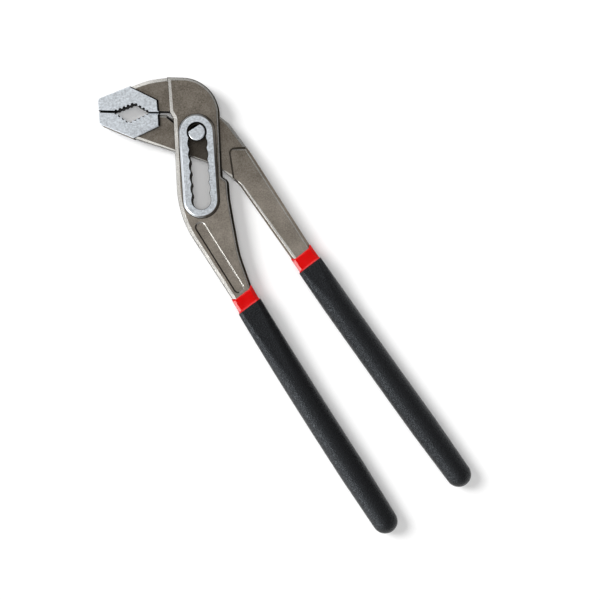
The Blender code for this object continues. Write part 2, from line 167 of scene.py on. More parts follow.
def arc(centre: Vector, radius: float, first: float, last: float, steps: int = 0) -> list[Vector]:
    """Returns the points of an arc from a first angle to a last one, in as many steps as given or needed."""
    count = steps or max(1, math.ceil(abs(last - first) / ARC_ANGLE))
    return [centre + heading(first + (last - first) * step / count) * radius for step in range(count + 1)]


def circle(radius: float) -> list[Vector]:
    """Returns the outline of a circle about the pivot."""
    return arc(spot(0.0, 0.0), radius, 0, 360 - ARC_ANGLE)


def rounded(corners: Sequence[Corner], steps: int = 0) -> list[Vector]:
    """Returns a closed outline with its corners rounded.

    Args:
        corners: Each corner and the radius of its arc, or 0 for a sharp corner.
        steps: The number of steps in each arc, or 0 for as many as its angle needs.

    Returns:
        The points of the outline, in the order of the corners.
    """
    points: list[Vector] = []
    for index, (corner, radius) in enumerate(corners):
        if radius == 0:
            points.append(Vector(corner))
            continue
        before = (corners[index - 1][0] - corner).normalized()
        after = (corners[(index + 1) % len(corners)][0] - corner).normalized()
        half = before.angle(after) / 2
        centre = corner + (before + after).normalized() * radius / math.sin(half)
        start = corner + before * radius / math.tan(half) - centre
        sweep = math.degrees(start.angle_signed(corner + after * radius / math.tan(half) - centre))
        first = math.degrees(math.atan2(start.y, start.x))
        points += arc(centre, radius, first, first - sweep, steps)
    return points


def stadium(first: Vector, last: Vector, radius: float) -> list[Vector]:
    """Returns the outline of a slot with round ends about two centres."""
    along = math.degrees(math.atan2(last.y - first.y, last.x - first.x))
    return arc(first, radius, along + 270, along + 90) + arc(last, radius, along + 90, along - 90)


def mixed(first: Triple, last: Triple, share: float) -> Triple:
    """Returns the three values at a share of the way from a first row to a last one."""
    near, middle, far = (low + (high - low) * share for low, high in zip(first, last))
    return near, middle, far


def limited(value: float, least: float = 0.0) -> float:
    """Returns a value held between a least one and one."""
    return min(max(value, least), 1.0)


def counter_clockwise(points: Sequence[Vector]) -> list[Vector]:
    """Returns an outline in counter-clockwise order."""
    area = sum(points[i - 1].x * points[i].y - points[i].x * points[i - 1].y for i in range(len(points)))
    return list(points) if area > 0 else list(points)[::-1]


def mitres(points: Sequence[Vector]) -> list[Vector]:
    """Returns the steps that draw an outline in.

    Args:
        points: The outline, counter-clockwise.

    Returns:
        For each point, the inward step that moves the sides beside it in by one.
    """
    steps = []
    for index, point in enumerate(points):
        before = left_of((point - points[index - 1]).normalized())
        after = left_of((points[(index + 1) % len(points)] - point).normalized())
        inward = (before + after).normalized()
        steps.append(inward / inward.dot(after))
    return steps


@dataclass(frozen=True)
class Rim:
    """The turn from a plate's face down a slope and over a narrow ledge into its leaning wall.

    Attributes:
        reach: How far the slope runs in from the ledge.
        drop: How far down the slope ends.
        ledge: The width of the ledge at the foot of the slope.
        draft: How far the wall leans out below the ledge.
        softness: The radius that rounds the ends of the slope.
        skew: The share by which the slope is wider on edges that face +X and narrower on those that face -X.
        rise: The share by which the slope is wider on edges that face +Y and narrower on those that face -Y.
        upright: Half of the thickness about the middle over which the wall doesn't lean.
    """

    reach: float
    drop: float
    ledge: float = 0.0
    draft: float = 0.0
    softness: float = 0.0002
    skew: float = 0.0
    rise: float = 0.0
    upright: float = 0.0

    def shares(self, point: Vector, facing: Vector) -> Triple:
        """Returns how wide draft, ledge and slope are on an edge, by its place and the way it faces."""
        return 1.0, 1.0, 1 + self.skew * facing.x + self.rise * facing.y

    def profile(self, half: float) -> list[Vector]:
        """Returns the turn as steps.

        Args:
            half: Half of the plate's thickness.

        Returns:
            Pairs of an inset and a depth, from the face to the middle of the plate.
        """
        foot = self.draft + self.ledge
        ledge_fall = self.ledge / 4
        ledge_radius = self.ledge / 3
        corners = [
            (spot(foot + self.reach + self.drop, 0.0), 0),
            (spot(foot + self.reach, 0.0), self.softness),
            (spot(foot, self.drop), ledge_radius or self.softness),
        ]
        if self.ledge:
            corners.append((spot(self.draft, self.drop + ledge_fall), ledge_radius))
        if self.upright:
            corners.append((spot(0.0, half - self.upright), 0))
        corners.append((spot(0.0, half), 0))
        return rounded(corners, RIM_STEPS)[1:]

    def ring(self, outline: Sequence[Vector], inset: float) -> list[Vector]:
        """Draws an outline in.

        Args:
            outline: The outline, counter-clockwise.
            inset: How far it is drawn in where all shares are one.

        Returns:
            The points of the outline drawn in.
        """
        draft = min(inset, self.draft)
        ledge = min(inset - draft, self.ledge)
        parts = (draft, ledge, inset - draft - ledge)
        ring = []
        for point, step in zip(outline, mitres(outline)):
            shares = self.shares(point, -step.normalized())
            ring.append(point + step * sum(part * share for part, share in zip(parts, shares)))
        return ring


@dataclass(frozen=True)
class SidedRim(Rim):
    """A rim whose shares of draft, ledge and slope are given for four kinds of edges.

    Attributes:
        upper_left, upper_right: The shares above the change, on edges that face -X and +X.
        lower_left, lower_right: The shares below it, on edges that face -X and +X.
        start: The y where the change begins.
        run: The length over which it changes.
    """

    upper_left: Triple = ALIKE
    upper_right: Triple = ALIKE
    lower_left: Triple = ALIKE
    lower_right: Triple = ALIKE
    start: float = 0.0
    run: float = 1.0

    def shares(self, point: Vector, facing: Vector) -> Triple:
        """Weighs an edge by its place and the way it faces.

        Args:
            point: The place of the edge.
            facing: The way it faces.

        Returns:
            How wide draft, ledge and slope are on it.
        """
        low = limited((self.start - point.y) / self.run)
        left = mixed(self.upper_left, self.lower_left, low)
        right = mixed(self.upper_right, self.lower_right, low)
        return mixed(left, right, (1 + facing.x) / 2)


@dataclass(frozen=True)
class WebRim(Rim):
    """A rim with hardly a slope where the plate runs between the cheeks of the other arm.

    Attributes:
        covered: How far to both sides of the pivot the cheeks reach.
        run: The length over which the slope comes back.
        least: The share of the slope between the cheeks.
    """

    covered: float = 0.0
    run: float = 1.0
    least: float = 0.1

    def shares(self, point: Vector, facing: Vector) -> Triple:
        """Returns how wide draft, ledge and slope are on an edge, by its place."""
        return 1.0, 1.0, limited((abs(point.x) - self.covered) / self.run, self.least)


def mesh_piece(name: str, rings: Sequence[Sequence[Vector]], zones: Sequence[Zone]) -> Piece:
    """Builds a closed piece from rings of points.

    Args:
        name: The name of the piece.
        rings: The rings, all with the same number of points; flat faces close the first and the last.
        zones: The zone of the first end, of each band between two rings, and of the last end.

    Returns:
        The piece, linked into the scene.
    """
    bm = bmesh.new()
    loops = [[bm.verts.new(point) for point in ring] for ring in rings]
    bm.faces.new(loops[0][::-1]).material_index = zones[0].value
    for lower, upper, zone in zip(loops, loops[1:], zones[1:]):
        for i in range(len(lower)):
            band = bm.faces.new((lower[i - 1], lower[i], upper[i], upper[i - 1]))
            band.material_index = zone.value
    bm.faces.new(loops[-1]).material_index = zones[-1].value
    bmesh.ops.recalc_face_normals(bm, faces=bm.faces)
    bmesh.ops.connect_verts_nonplanar(bm, angle_limit=math.radians(FLAT_ANGLE), faces=bm.faces)
    mesh = bpy.data.meshes.new(name)
    bm.to_mesh(mesh)
    bm.free()
    piece = bpy.data.objects.new(name, mesh)
    bpy.context.collection.objects.link(piece)
    for _ in Zone:
        mesh.materials.append(None)
    return piece


def lifted(points: Sequence[Vector], height: float) -> list[Vector]:
    """Returns the points of an outline at a height above the middle plane of the tool."""
    return [Vector((point.x, point.y, MID_HEIGHT + height)) for point in points]


def plate(name: str, outline: Sequence[Vector], half: float, rim: Rim, face: Zone = Zone.BLASTED,
          slope: Zone = Zone.EDGE, wall: Zone = Zone.WALL) -> Piece:
    """Builds a plate about the middle plane of the tool, with the same rim on both faces.

    Args:
        name: The name of the plate.
        outline: The outline at the middle plane.
        half: Half of the plate's thickness.
        rim: The rim of both faces.
        face: The zone of both faces.
        slope: The zone of both rims.
        wall: The zone of the wall between the rims; by default the dark wall finish, which paints shade on
            it.

    Returns:
        The plate.
    """
    outline = counter_clockwise(outline)
    profile = rim.profile(half)
    upper = [lifted(rim.ring(outline, step.x), half - step.y) for step in profile]
    lower = [lifted(rim.ring(outline, step.x), step.y - half) for step in profile]
    bands = [slope if step.y <= rim.drop + rim.ledge else wall for step in profile[1:]]
    return mesh_piece(name, lower + upper[-2::-1], [face, *bands, *bands[::-1], face])


def cutter(name: str, outline: Sequence[Vector], levels: Sequence[Pair], wall: Zone = Zone.CUT,
           end: Zone = Zone.CUT) -> Piece:
    """Builds a cutting tool from an outline.

    Args:
        name: The name of the tool.
        outline: The outline of the cut.
        levels: Pairs of a height above the middle plane and of how far the outline is widened there.
        wall: The zone of the cut's walls.
        end: The zone of the cut's flat ends.

    Returns:
        The tool.
    """
    outline = counter_clockwise(outline)
    steps = mitres(outline)
    rings = []
    for height, wider in levels:
        rings.append(lifted([point - step * wider for point, step in zip(outline, steps)], height))
    return mesh_piece(name, rings, [end, *[wall] * (len(rings) - 1), end])


def combine(piece: Piece, tool: Piece, joining: Joining) -> None:
    """Adds a tool to a piece or cuts it away, and removes the tool.

    Args:
        piece: The piece, whose mesh is replaced.
        tool: The tool.
        joining: What the tool does.
    """
    modifier = piece.modifiers.new(tool.name, "BOOLEAN")
    modifier.operation = joining.value
    modifier.solver = "EXACT"
    modifier.material_mode = "INDEX"
    modifier.object = tool
    bpy.context.view_layer.update()
    evaluated = piece.evaluated_get(bpy.context.evaluated_depsgraph_get())
    result = bpy.data.meshes.new_from_object(evaluated)
    piece.modifiers.clear()
    piece.data = result
    bpy.data.objects.remove(tool)


def sink(piece: Piece, outline: Sequence[Vector], floor: float, top: float, wider: float = 0.0,
         zone: Zone = Zone.CUT) -> None:
    """Cuts the same recess into both faces of a piece.

    Args:
        piece: The piece.
        outline: The outline of the recess.
        floor: The height of its floor above the middle plane.
        top: A height above the face.
        wider: How far the outline is widened.
        zone: The zone of its walls and its floor.
    """
    for side in (1, -1):
        levels = [(side * floor, wider), (side * top, wider)]
        combine(piece, cutter("recess", outline, levels, zone, zone), Joining.CUT)


@dataclass(frozen=True)
class Pattern:
    """A cloudy pattern: the size of its spots, its detail and how far it is stretched along the axes."""

    size: float
    detail: float = 2.0
    stretch: Triple = ALIKE


class Graph:
    """The nodes of a material or of the world, with short calls to add and to join them."""

    def __init__(self, owner: Material | bpy.types.World) -> None:
        """Starts the nodes of an owner."""
        owner.use_nodes = True
        self.tree = owner.node_tree

    def add(self, kind: str, inputs: dict[str | int, object], **settings: object) -> Node:
        """Adds a node.

        Args:
            kind: The node's type, without the words that every shader node's type begins with.
            inputs: Values for its sockets, where a socket of another node is joined to it.
            settings: Values for its own properties.

        Returns:
            The node.
        """
        node = self.tree.nodes.new("ShaderNode" + kind)
        for key, value in settings.items():
            setattr(node, key, value)
        self.fill(node, inputs)
        return node

    def fill(self, node: Node, inputs: dict[str | int, object]) -> None:
        """Joins sockets of a node to other ones, or gives them constants.

        Args:
            node: The node.
            inputs: Values for its sockets, where a socket of another node is joined to it.
        """
        for key, value in inputs.items():
            if isinstance(value, Socket):
                self.tree.links.new(value, node.inputs[key])
            else:
                node.inputs[key].default_value = value

    def place(self, kind: str = "Object") -> Socket:
        """Returns the place on the piece, which moves with it, or coordinates of another kind."""
        return self.add("TexCoord", {}).outputs[kind]

    def parts(self, vector: Socket) -> bpy.types.NodeOutputs:
        """Returns the three parts of a vector."""
        return self.add("SeparateXYZ", {"Vector": vector}).outputs

    def noise(self, pattern: Pattern) -> Socket:
        """Adds a cloudy pattern.

        Args:
            pattern: The pattern.

        Returns:
            Its value at each place on the piece.
        """
        scale = tuple(1 / (pattern.size * share) for share in pattern.stretch)
        place = self.add("Mapping", {"Vector": self.place(), "Scale": scale}).outputs["Vector"]
        return self.add("TexNoise", {"Vector": place, "Scale": 1.0, "Detail": pattern.detail}).outputs["Fac"]

    def remap(self, value: Socket, reach: Pair, result: Pair = (0.0, 1.0)) -> Socket:
        """Returns a value that runs from one result to the other while a given one runs over its reach."""
        ends = dict(zip(("From Min", "From Max", "To Min", "To Max"), (*reach, *result)))
        return self.add("MapRange", {"Value": value, **ends}).outputs["Result"]

    def span(self, pattern: Socket, result: Pair) -> Socket:
        """Returns a pattern stretched between two values."""
        return self.remap(pattern, NOISE_REACH, result)

    def math(self, operation: str, first: Socket, second: Socket) -> Socket:
        """Returns what an operation makes of two values."""
        return self.add("Math", {0: first, 1: second}, operation=operation).outputs["Value"]

    def blend(self, pattern: Socket, first: Triple, last: Triple) -> Socket:
        """Adds a colour that changes with a pattern.

        Args:
            pattern: The pattern.
            first: The colour where it is zero.
            last: The colour where it is one.

        Returns:
            The colour.
        """
        node = self.add("ValToRGB", {"Fac": pattern})
        for element, colour in zip(node.color_ramp.elements, (first, last)):
            element.color = (*colour, 1.0)
        return node.outputs["Color"]

    def tones(self, pattern: Socket, colour: Triple, spread: float) -> Socket:
        """Returns a colour that a pattern takes from darker at zero to lighter at one by a spread."""
        dark, light = (tuple(value * share for value in colour) for share in (1 - spread, 1 + spread))
        return self.blend(pattern, dark, light)

    def rays(self, *kinds: str) -> Socket:
        """Returns one for the rays of these kinds.

        Args:
            kinds: The kinds, as the light path names them.

        Returns:
            One for a ray of any of the kinds, and zero for the rest.
        """
        path = self.add("LightPath", {}).outputs
        shown = path[kinds[0]]
        for kind in kinds[1:]:
            shown = self.math("MAXIMUM", shown, path[kind])
        return shown

    def light(self, kind: str, strength: Socket | float) -> Node:
        """Returns a shader that shines plain white with a strength."""
        return self.add(kind, {"Color": WHITE, "Strength": strength})

    def choice(self, share: Socket, first: Node, last: Node) -> Node:
        """Returns a shader that a share takes from a first one at zero to a last one at one."""
        return self.add("MixShader", {0: share, 1: first.outputs[0], 2: last.outputs[0]})


@dataclass(frozen=True)
class Finish:
    """What all finishes have.

    Attributes:
        name: The name of the material.
        rough: The roughness at the low and at the high end of its pattern.
        relief: The strength and the height of its relief.
    """

    name: str
    rough: Pair
    relief: Pair

    def start(self) -> tuple[Material, Graph]:
        """Returns a new material and its nodes."""
        material = bpy.data.materials.new(self.name)
        return material, Graph(material)

    def shade(self, graph: Graph, colour: Socket, grain: Socket, relief: Socket,
              constants: dict[str, object]) -> None:
        """Fills the sockets of the material's shader.

        Args:
            graph: The nodes of the material.
            colour: The colour.
            grain: The pattern of the roughness.
            relief: The pattern of the relief.
            constants: Values that are the same all over the surface.
        """
        strength, height = self.relief
        bump = graph.add("Bump", {"Height": relief, "Strength": strength, "Distance": height})
        graph.fill(graph.tree.nodes["Principled BSDF"], {
            "Base Color": colour,
            "Roughness": graph.span(grain, self.rough),
            "Normal": bump.outputs["Normal"],
            **constants,
        })


@dataclass(frozen=True)
class BlastedSteel(Finish):
    """Forged steel with a fine matt blasted skin.

    Attributes:
        dark: The colour of its darkest spots.
        light: The colour of its lightest spots.
        glance: The tint of what it mirrors at a glancing angle.
        cloud, mottle, grain: The patterns of its wide clouds, its spots and its finest grain.
        cloud_span, mottle_span, grain_span: The least and the most that each adds to the tone.
        handle_lightening: How much lighter the tone gets along the handles, towards -Y.
        handle_lightening_span: The y where the lightening begins and where it is full.
    """

    name: str = "blasted_steel"
    rough: Pair = (0.44, 0.56)
    relief: Pair = (0.35, 0.0001)
    dark: Triple = (0.062, 0.051, 0.038)
    light: Triple = (0.335, 0.300, 0.257)
    glance: Triple = (0.50, 0.46, 0.42)
    cloud: Pattern = Pattern(0.009, 4.0)
    mottle: Pattern = Pattern(0.0008, 4.0)
    grain: Pattern = Pattern(0.0004, 1.0)
    cloud_span: Pair = (0.015, 0.305)
    mottle_span: Pair = (0.0, 0.247)
    grain_span: Pair = (-0.044, 0.203)
    handle_lightening: float = 0.30
    handle_lightening_span: Pair = (-0.012, -0.030)

    def material(self) -> Material:
        """Builds the finish.

        Returns:
            The finish as a material.
        """
        material, graph = self.start()
        grain = graph.noise(self.grain)
        mottle = graph.span(graph.noise(self.mottle), self.mottle_span)
        cloud = graph.span(graph.noise(self.cloud), self.cloud_span)
        lightening = graph.remap(graph.parts(graph.place())["Y"], self.handle_lightening_span, (0.0, self.handle_lightening))
        spots = graph.math("ADD", graph.span(grain, self.grain_span), mottle)
        tone = graph.math("ADD", graph.math("ADD", spots, cloud), lightening)
        colour = graph.blend(tone, self.dark, self.light)
        self.shade(graph, colour, grain, spots, {"Metallic": 1.0, "Specular Tint": (*self.glance, 1.0)})
        return material


@dataclass(frozen=True)
class GroundSteel(Finish):
    """Bright steel with the fine marks of a grinding wheel."""

    name: str = "ground_steel"
    rough: Pair = (0.29, 0.43)
    relief: Pair = (0.12, 0.00005)
    colour: Triple = (0.64, 0.68, 0.72)
    spread: float = 0.45
    speckle: Pattern = Pattern(0.0009, 4.0)
    stroke: Pattern = Pattern(0.00025, stretch=(6.0, 1.0, 1.0))
    speckle_span: Pair = (0.05, 0.55)
    stroke_span: Pair = (0.05, 0.35)

    def material(self) -> Material:
        """Builds the finish.

        Returns:
            The finish as a material.
        """
        material, graph = self.start()
        stroke = graph.noise(self.stroke)
        speckle = graph.span(graph.noise(self.speckle), self.speckle_span)
        tone = graph.math("ADD", speckle, graph.span(stroke, self.stroke_span))
        self.shade(graph, graph.tones(tone, self.colour, self.spread), stroke, stroke, {"Metallic": 1.0})
        return material


@dataclass(frozen=True)
class FlankSteel(Finish):
    """Painted light and shade on the slope of the boss: lighter where a face turns towards the light, darker
    where it turns away.

    Attributes:
        shaded_colour: The colour painted where the slope turns away from the light.
        lit_colour: The colour painted where it turns towards the light.
        lit_angle: The way that the lit side faces.
        lit_span: Where the change begins and ends, as the share of the normal that faces that way.
        grain: The pattern of its grain.
        grain_span: The least and the most that the grain adds to the change.
    """

    name: str = "boss_flank_painted_light"
    rough: Pair = (0.32, 0.44)
    relief: Pair = (0.2, 0.00005)
    # Painted light and shade: the first colour below is painted where the slope turns away from the light,
    # the second where it turns towards it
    shaded_colour: Triple = (0.150, 0.134, 0.115)
    lit_colour: Triple = (0.64, 0.68, 0.72)
    lit_angle: float = 165.0
    lit_span: Pair = (-0.40, 0.15)
    grain: Pattern = Pattern(0.0005, 3.0)
    grain_span: Pair = (-0.12, 0.12)

    def material(self) -> Material:
        """Builds the finish.

        Returns:
            The finish as a material.
        """
        material, graph = self.start()
        grain = graph.noise(self.grain)
        way = (*heading(self.lit_angle), 0.0)
        facing = graph.add("VectorMath", {0: graph.place("Normal"), 1: way}, operation="DOT_PRODUCT")
        turn = graph.remap(facing.outputs["Value"], self.lit_span)
        tone = graph.math("ADD", turn, graph.span(grain, self.grain_span))
        self.shade(graph, graph.blend(tone, self.shaded_colour, self.lit_colour), grain, grain, {"Metallic": 1.0})
        return material


@dataclass(frozen=True)
class PlainFinish(Finish):
    """A finish of one colour that a single pattern makes uneven.

    Attributes:
        colour: The mean colour.
        spread: The share by which the pattern makes it darker and lighter.
        pattern: The pattern.
        specular: How strongly it mirrors.
    """

    colour: Triple
    spread: float
    pattern: Pattern
    specular: float

    def material(self) -> Material:
        """Builds the finish.

        Returns:
            The finish as a material.
        """
        material, graph = self.start()
        pattern = graph.noise(self.pattern)
        colour = graph.tones(graph.span(pattern, TONE_SPAN), self.colour, self.spread)
        self.shade(graph, colour, pattern, pattern, {"Specular IOR Level": self.specular})
        return material


@dataclass(frozen=True)
class BlackDip(Finish):
    """Matt black dipped plastic with a fine pebbled skin."""

    name: str = "black_dip"
    rough: Pair = (0.40, 0.22)
    relief: Pair = (0.5, 0.0003)
    colour: Triple = (0.0045, 0.0042, 0.0042)
    spread: float = 0.6
    specular: float = 0.24
    glance: Triple = (0.8, 0.9, 1.0)
    pebble: float = 0.0006
    streak: Pattern = Pattern(0.0006, 4.0)
    pebble_span: Pair = (0.0, 0.6)
    streak_span: Pair = (0.0, 0.5)

    def material(self) -> Material:
        """Builds the finish.

        Returns:
            The finish as a material.
        """
        material, graph = self.start()
        cells = graph.add("TexVoronoi", {"Vector": graph.place(), "Scale": 1 / self.pebble})
        streak = graph.noise(self.streak)
        pebbles = graph.span(cells.outputs["Distance"], self.pebble_span)
        skin = graph.math("ADD", pebbles, graph.span(streak, self.streak_span))
        colour = graph.tones(graph.span(streak, TONE_SPAN), self.colour, self.spread)
        constants = {"Specular IOR Level": self.specular, "Specular Tint": (*self.glance, 1.0)}
        self.shade(graph, colour, skin, skin, constants)
        return material


BURNISHED_EDGE = BlastedSteel("burnished_edge", (0.25, 0.37), dark=(0.24, 0.234, 0.220),
                              light=(0.52, 0.509, 0.483), handle_lightening=0.0)
# Painted shade: walls darker than the faces that mirror almost nothing at a glancing angle, standing in for
# the shade on them
PAINTED_SHADE_WALL = BlastedSteel("painted_shade_wall", dark=(0.030, 0.025, 0.019), light=(0.127, 0.112, 0.095),
                           glance=(0.04, 0.035, 0.03), handle_lightening=0.0)
# Painted shade: cut faces are near-black and hardly mirror, standing in for the shade in the notches,
# gullets, slot and holes
PAINTED_SHADE_CUT = PlainFinish("painted_shade_cut", (0.42, 0.58), (0.2, 0.00008), (0.004, 0.0036, 0.0032), 0.5,
                        Pattern(0.0003, 3.0, (1.0, 1.0, 8.0)), 0.02)
RED_DIP = PlainFinish("red_dip", (0.06, 0.12), (0.1, 0.0002), (0.58, 0.001, 0.001), 0.06, Pattern(0.003), 0.3)


@dataclass(frozen=True)
class Layers:
    """Half thicknesses of the plates that the arms are built of, about the middle plane."""

    boss: float = 0.0065
    head: float = 0.0049
    window: float = 0.0027
    web: float = 0.0024
    jaw: float = 0.0035
    pad: float = 0.0046
    raised: float = 0.0046


@dataclass(frozen=True)
class PipeJaws:
    """The jaws: two ground pads that meet on the bite line, with a toothed diamond between them.

    The arms run on under their pads. The root and the tuck are the places of their hidden corners, back from
    the pad's peak, and the notch is how far behind the pad's back they leave the bite line. Faces of a pad
    that look at the bite or at the head by more than the two shares get painted shade: the near-black cut
    finish.
    """

    bite_distance: float = 0.0306
    bite_height: float = 0.0118
    bite_angle: float = -5.0
    gap: float = 0.0007
    reach: float = 0.0463
    height: float = 0.0122
    tip_height: float = 0.0058
    tip_radius: float = 0.0020
    back_distance: float = 0.0175
    back_height: float = 0.0059
    corner_radius: float = 0.0010
    half_length: float = 0.0084
    upper_depth: float = 0.0041
    lower_depth: float = 0.0050
    skew: float = 0.0012
    tooth_pitch: float = 0.0022
    gullet_radius: float = 0.00066
    gullet_offset: float = 0.00026
    gullet_floor: float = 0.15
    gullet_run: float = 0.0016
    teeth_overshoot: float = 1.1
    root: Pair = (0.006, 0.0032)
    tuck: Pair = (0.0004, 0.0004)
    notch: float = 0.0022
    bite_facing: float = 0.9
    head_facing: float = 0.3
    rim: Rim = Rim(0.0005, 0.0006, softness=0.0001, skew=0.6)

    def bite(self, x: float, height: float) -> Vector:
        """Returns the point at x that lies a height above the middle of the gap."""
        slope = math.tan(math.radians(self.bite_angle))
        return spot(x, self.bite_height + slope * (x + self.bite_distance) + height)

    def edge(self, jaw: Jaw, height: float = 0.0) -> float:
        """Returns the height of a place on a jaw over the middle of the gap."""
        return jaw.value * (self.gap / 2 + height)

    def peak(self, jaw: Jaw) -> Vector:
        """Returns the corner of a jaw that stands furthest from the bite line."""
        return self.bite(-self.bite_distance, self.edge(jaw, self.height))

    def hidden_root(self, jaw: Jaw) -> list[Corner]:
        """Returns the corners of an arm under its pad, up to the pad's peak."""
        return [(self.peak(jaw) - spot(x, jaw.value * y), 0) for x, y in (self.root, self.tuck)]

    def hidden_back(self, jaw: Jaw) -> Corner:
        """Returns the corner where an arm leaves the bite line under its pad."""
        return self.bite(-self.back_distance - self.notch, self.edge(jaw, SEAM)), 0

    def inner(self, height: float) -> Vector:
        """Returns a point well inside a pad."""
        return self.bite(-self.back_distance - self.back_height / 2, height)

    def teeth(self, jaw: Jaw, depth: float) -> list[Vector]:
        """Returns the outline that cuts the V of one jaw, with a round gullet in each of its teeth.

        Args:
            jaw: The jaw.
            depth: The share of the gullets' full depth.

        Returns:
            The outline, with the same number of points at every depth.
        """
        slope = heading(self.bite_angle) * jaw.value
        rise = left_of(slope)
        centre = self.bite(-self.bite_distance, 0)
        start = centre - slope * self.half_length
        apex_depth = self.upper_depth if jaw is Jaw.UPPER else self.lower_depth
        apex = centre + slope * self.skew + rise * apex_depth
        end = centre + slope * self.half_length
        half = math.degrees(math.acos(-self.gullet_offset / self.gullet_radius))
        gullet = arc(spot(0.0, self.gullet_offset), self.gullet_radius, 90 + half, 90 - half, GULLET_STEPS)
        points = [start]
        for first, last in ((start, apex), (apex, end)):
            run = last - first
            along = run.normalized()
            outward = left_of(along)
            count = max(1, round(run.length / self.tooth_pitch))
            for tooth in range(count):
                root = first + run * (tooth + 0.5) / count
                points += [root + along * step.x + outward * step.y * depth for step in gullet]
            points.append(last)
        return points + [end - rise * self.gap, start - rise * self.gap]

    def teeth_tool(self, jaw: Jaw, half: float) -> Piece:
        """Builds the tool that cuts the teeth, whose gullets are deepest at both faces.

        Args:
            jaw: The jaw.
            half: Half of the tool's thickness.

        Returns:
            The tool.
        """
        inner = half - self.gullet_run
        levels = ((-half, 1.0), (-inner, self.gullet_floor), (inner, self.gullet_floor), (half, 1.0))
        rings = [lifted(self.teeth(jaw, depth), height) for height, depth in levels]
        # Painted shade: the cut finish makes the gullets and the walls of the teeth near-black
        return mesh_piece("teeth", rings, [Zone.CUT] * (len(levels) + 1))

    def pad(self, jaw: Jaw, half: float) -> Piece:
        """Builds the ground pad of one jaw, with its toothed V, and with painted shade on its flanks towards
        the bite and the head.

        Args:
            jaw: The jaw.
            half: Half of the pad's thickness.

        Returns:
            The pad.
        """
        corners = [
            (self.bite(-self.reach, self.edge(jaw)), 0),
            (self.bite(-self.reach, self.edge(jaw, self.tip_height)), self.tip_radius),
            (self.peak(jaw), 0),
            (self.bite(-self.back_distance, self.edge(jaw, self.back_height)), self.corner_radius),
            (self.bite(-self.back_distance, self.edge(jaw)), 0),
        ]
        pad = plate("pad", rounded(corners), half, self.rim, Zone.GROUND, Zone.GROUND, Zone.BLASTED)
        # Painted shade: faces towards the bite or the head take the near-black cut finish
        for face in pad.data.polygons:
            if face.normal.y * jaw.value < -self.bite_facing or face.normal.x > self.head_facing:
                face.material_index = Zone.CUT.value
        combine(pad, self.teeth_tool(jaw, self.teeth_overshoot * half), Joining.CUT)
        return pad


@dataclass(frozen=True)
class Section:
    """A section across a handle: a flat-topped bar with sloped shoulders.

    Attributes:
        distance: How far along the handle it lies.
        half_width: Half of its width.
        half_thickness: Half of its thickness.
        shoulder: How far in from the side the flat top ends.
        fall: How far down from the top the side begins.
        softness: The radius of its corners.
    """

    distance: float
    half_width: float
    half_thickness: float
    shoulder: float
    fall: float
    softness: float

    def outline(self) -> list[Vector]:
        """Draws the section.

        Returns:
            The outline, always with the same number of points.
        """
        top = self.half_width - self.shoulder
        side = self.half_thickness - self.fall
        corners: list[Corner] = []
        for x, y in ((1, 1), (-1, 1), (-1, -1), (1, -1)):
            pair = [
                (spot(x * self.half_width, y * side), self.softness),
                (spot(x * top, y * self.half_thickness), self.softness),
            ]
            corners += pair if x * y > 0 else pair[::-1]
        return rounded(corners, SECTION_STEPS)

    def grown(self, wall: float) -> "Section":
        """Returns the section with a wall added all round."""
        return replace(self, half_width=self.half_width + wall, half_thickness=self.half_thickness + wall)

    def at(self, distance: float) -> "Section":
        """Returns the section at another distance."""
        return replace(self, distance=distance)

    def toward(self, other: "Section", share: float) -> "Section":
        """Returns a section between this one and another."""
        pairs = zip(vars(self).values(), vars(other).values())
        return Section(*(first + (last - first) * share for first, last in pairs))

    def shrunk(self, distance: float, share: float) -> "Section":
        """Returns the section at a distance, with every other size shrunk to a share."""
        sizes = [value * share for value in list(vars(self).values())[1:]]
        return Section(distance, *sizes)

    def steps(self, profile: Sequence[Pair], start: float) -> list["Section"]:
        """Returns the section once for each pair of an added wall and a distance from a start."""
        return [self.grown(wall).at(start + offset) for wall, offset in profile]


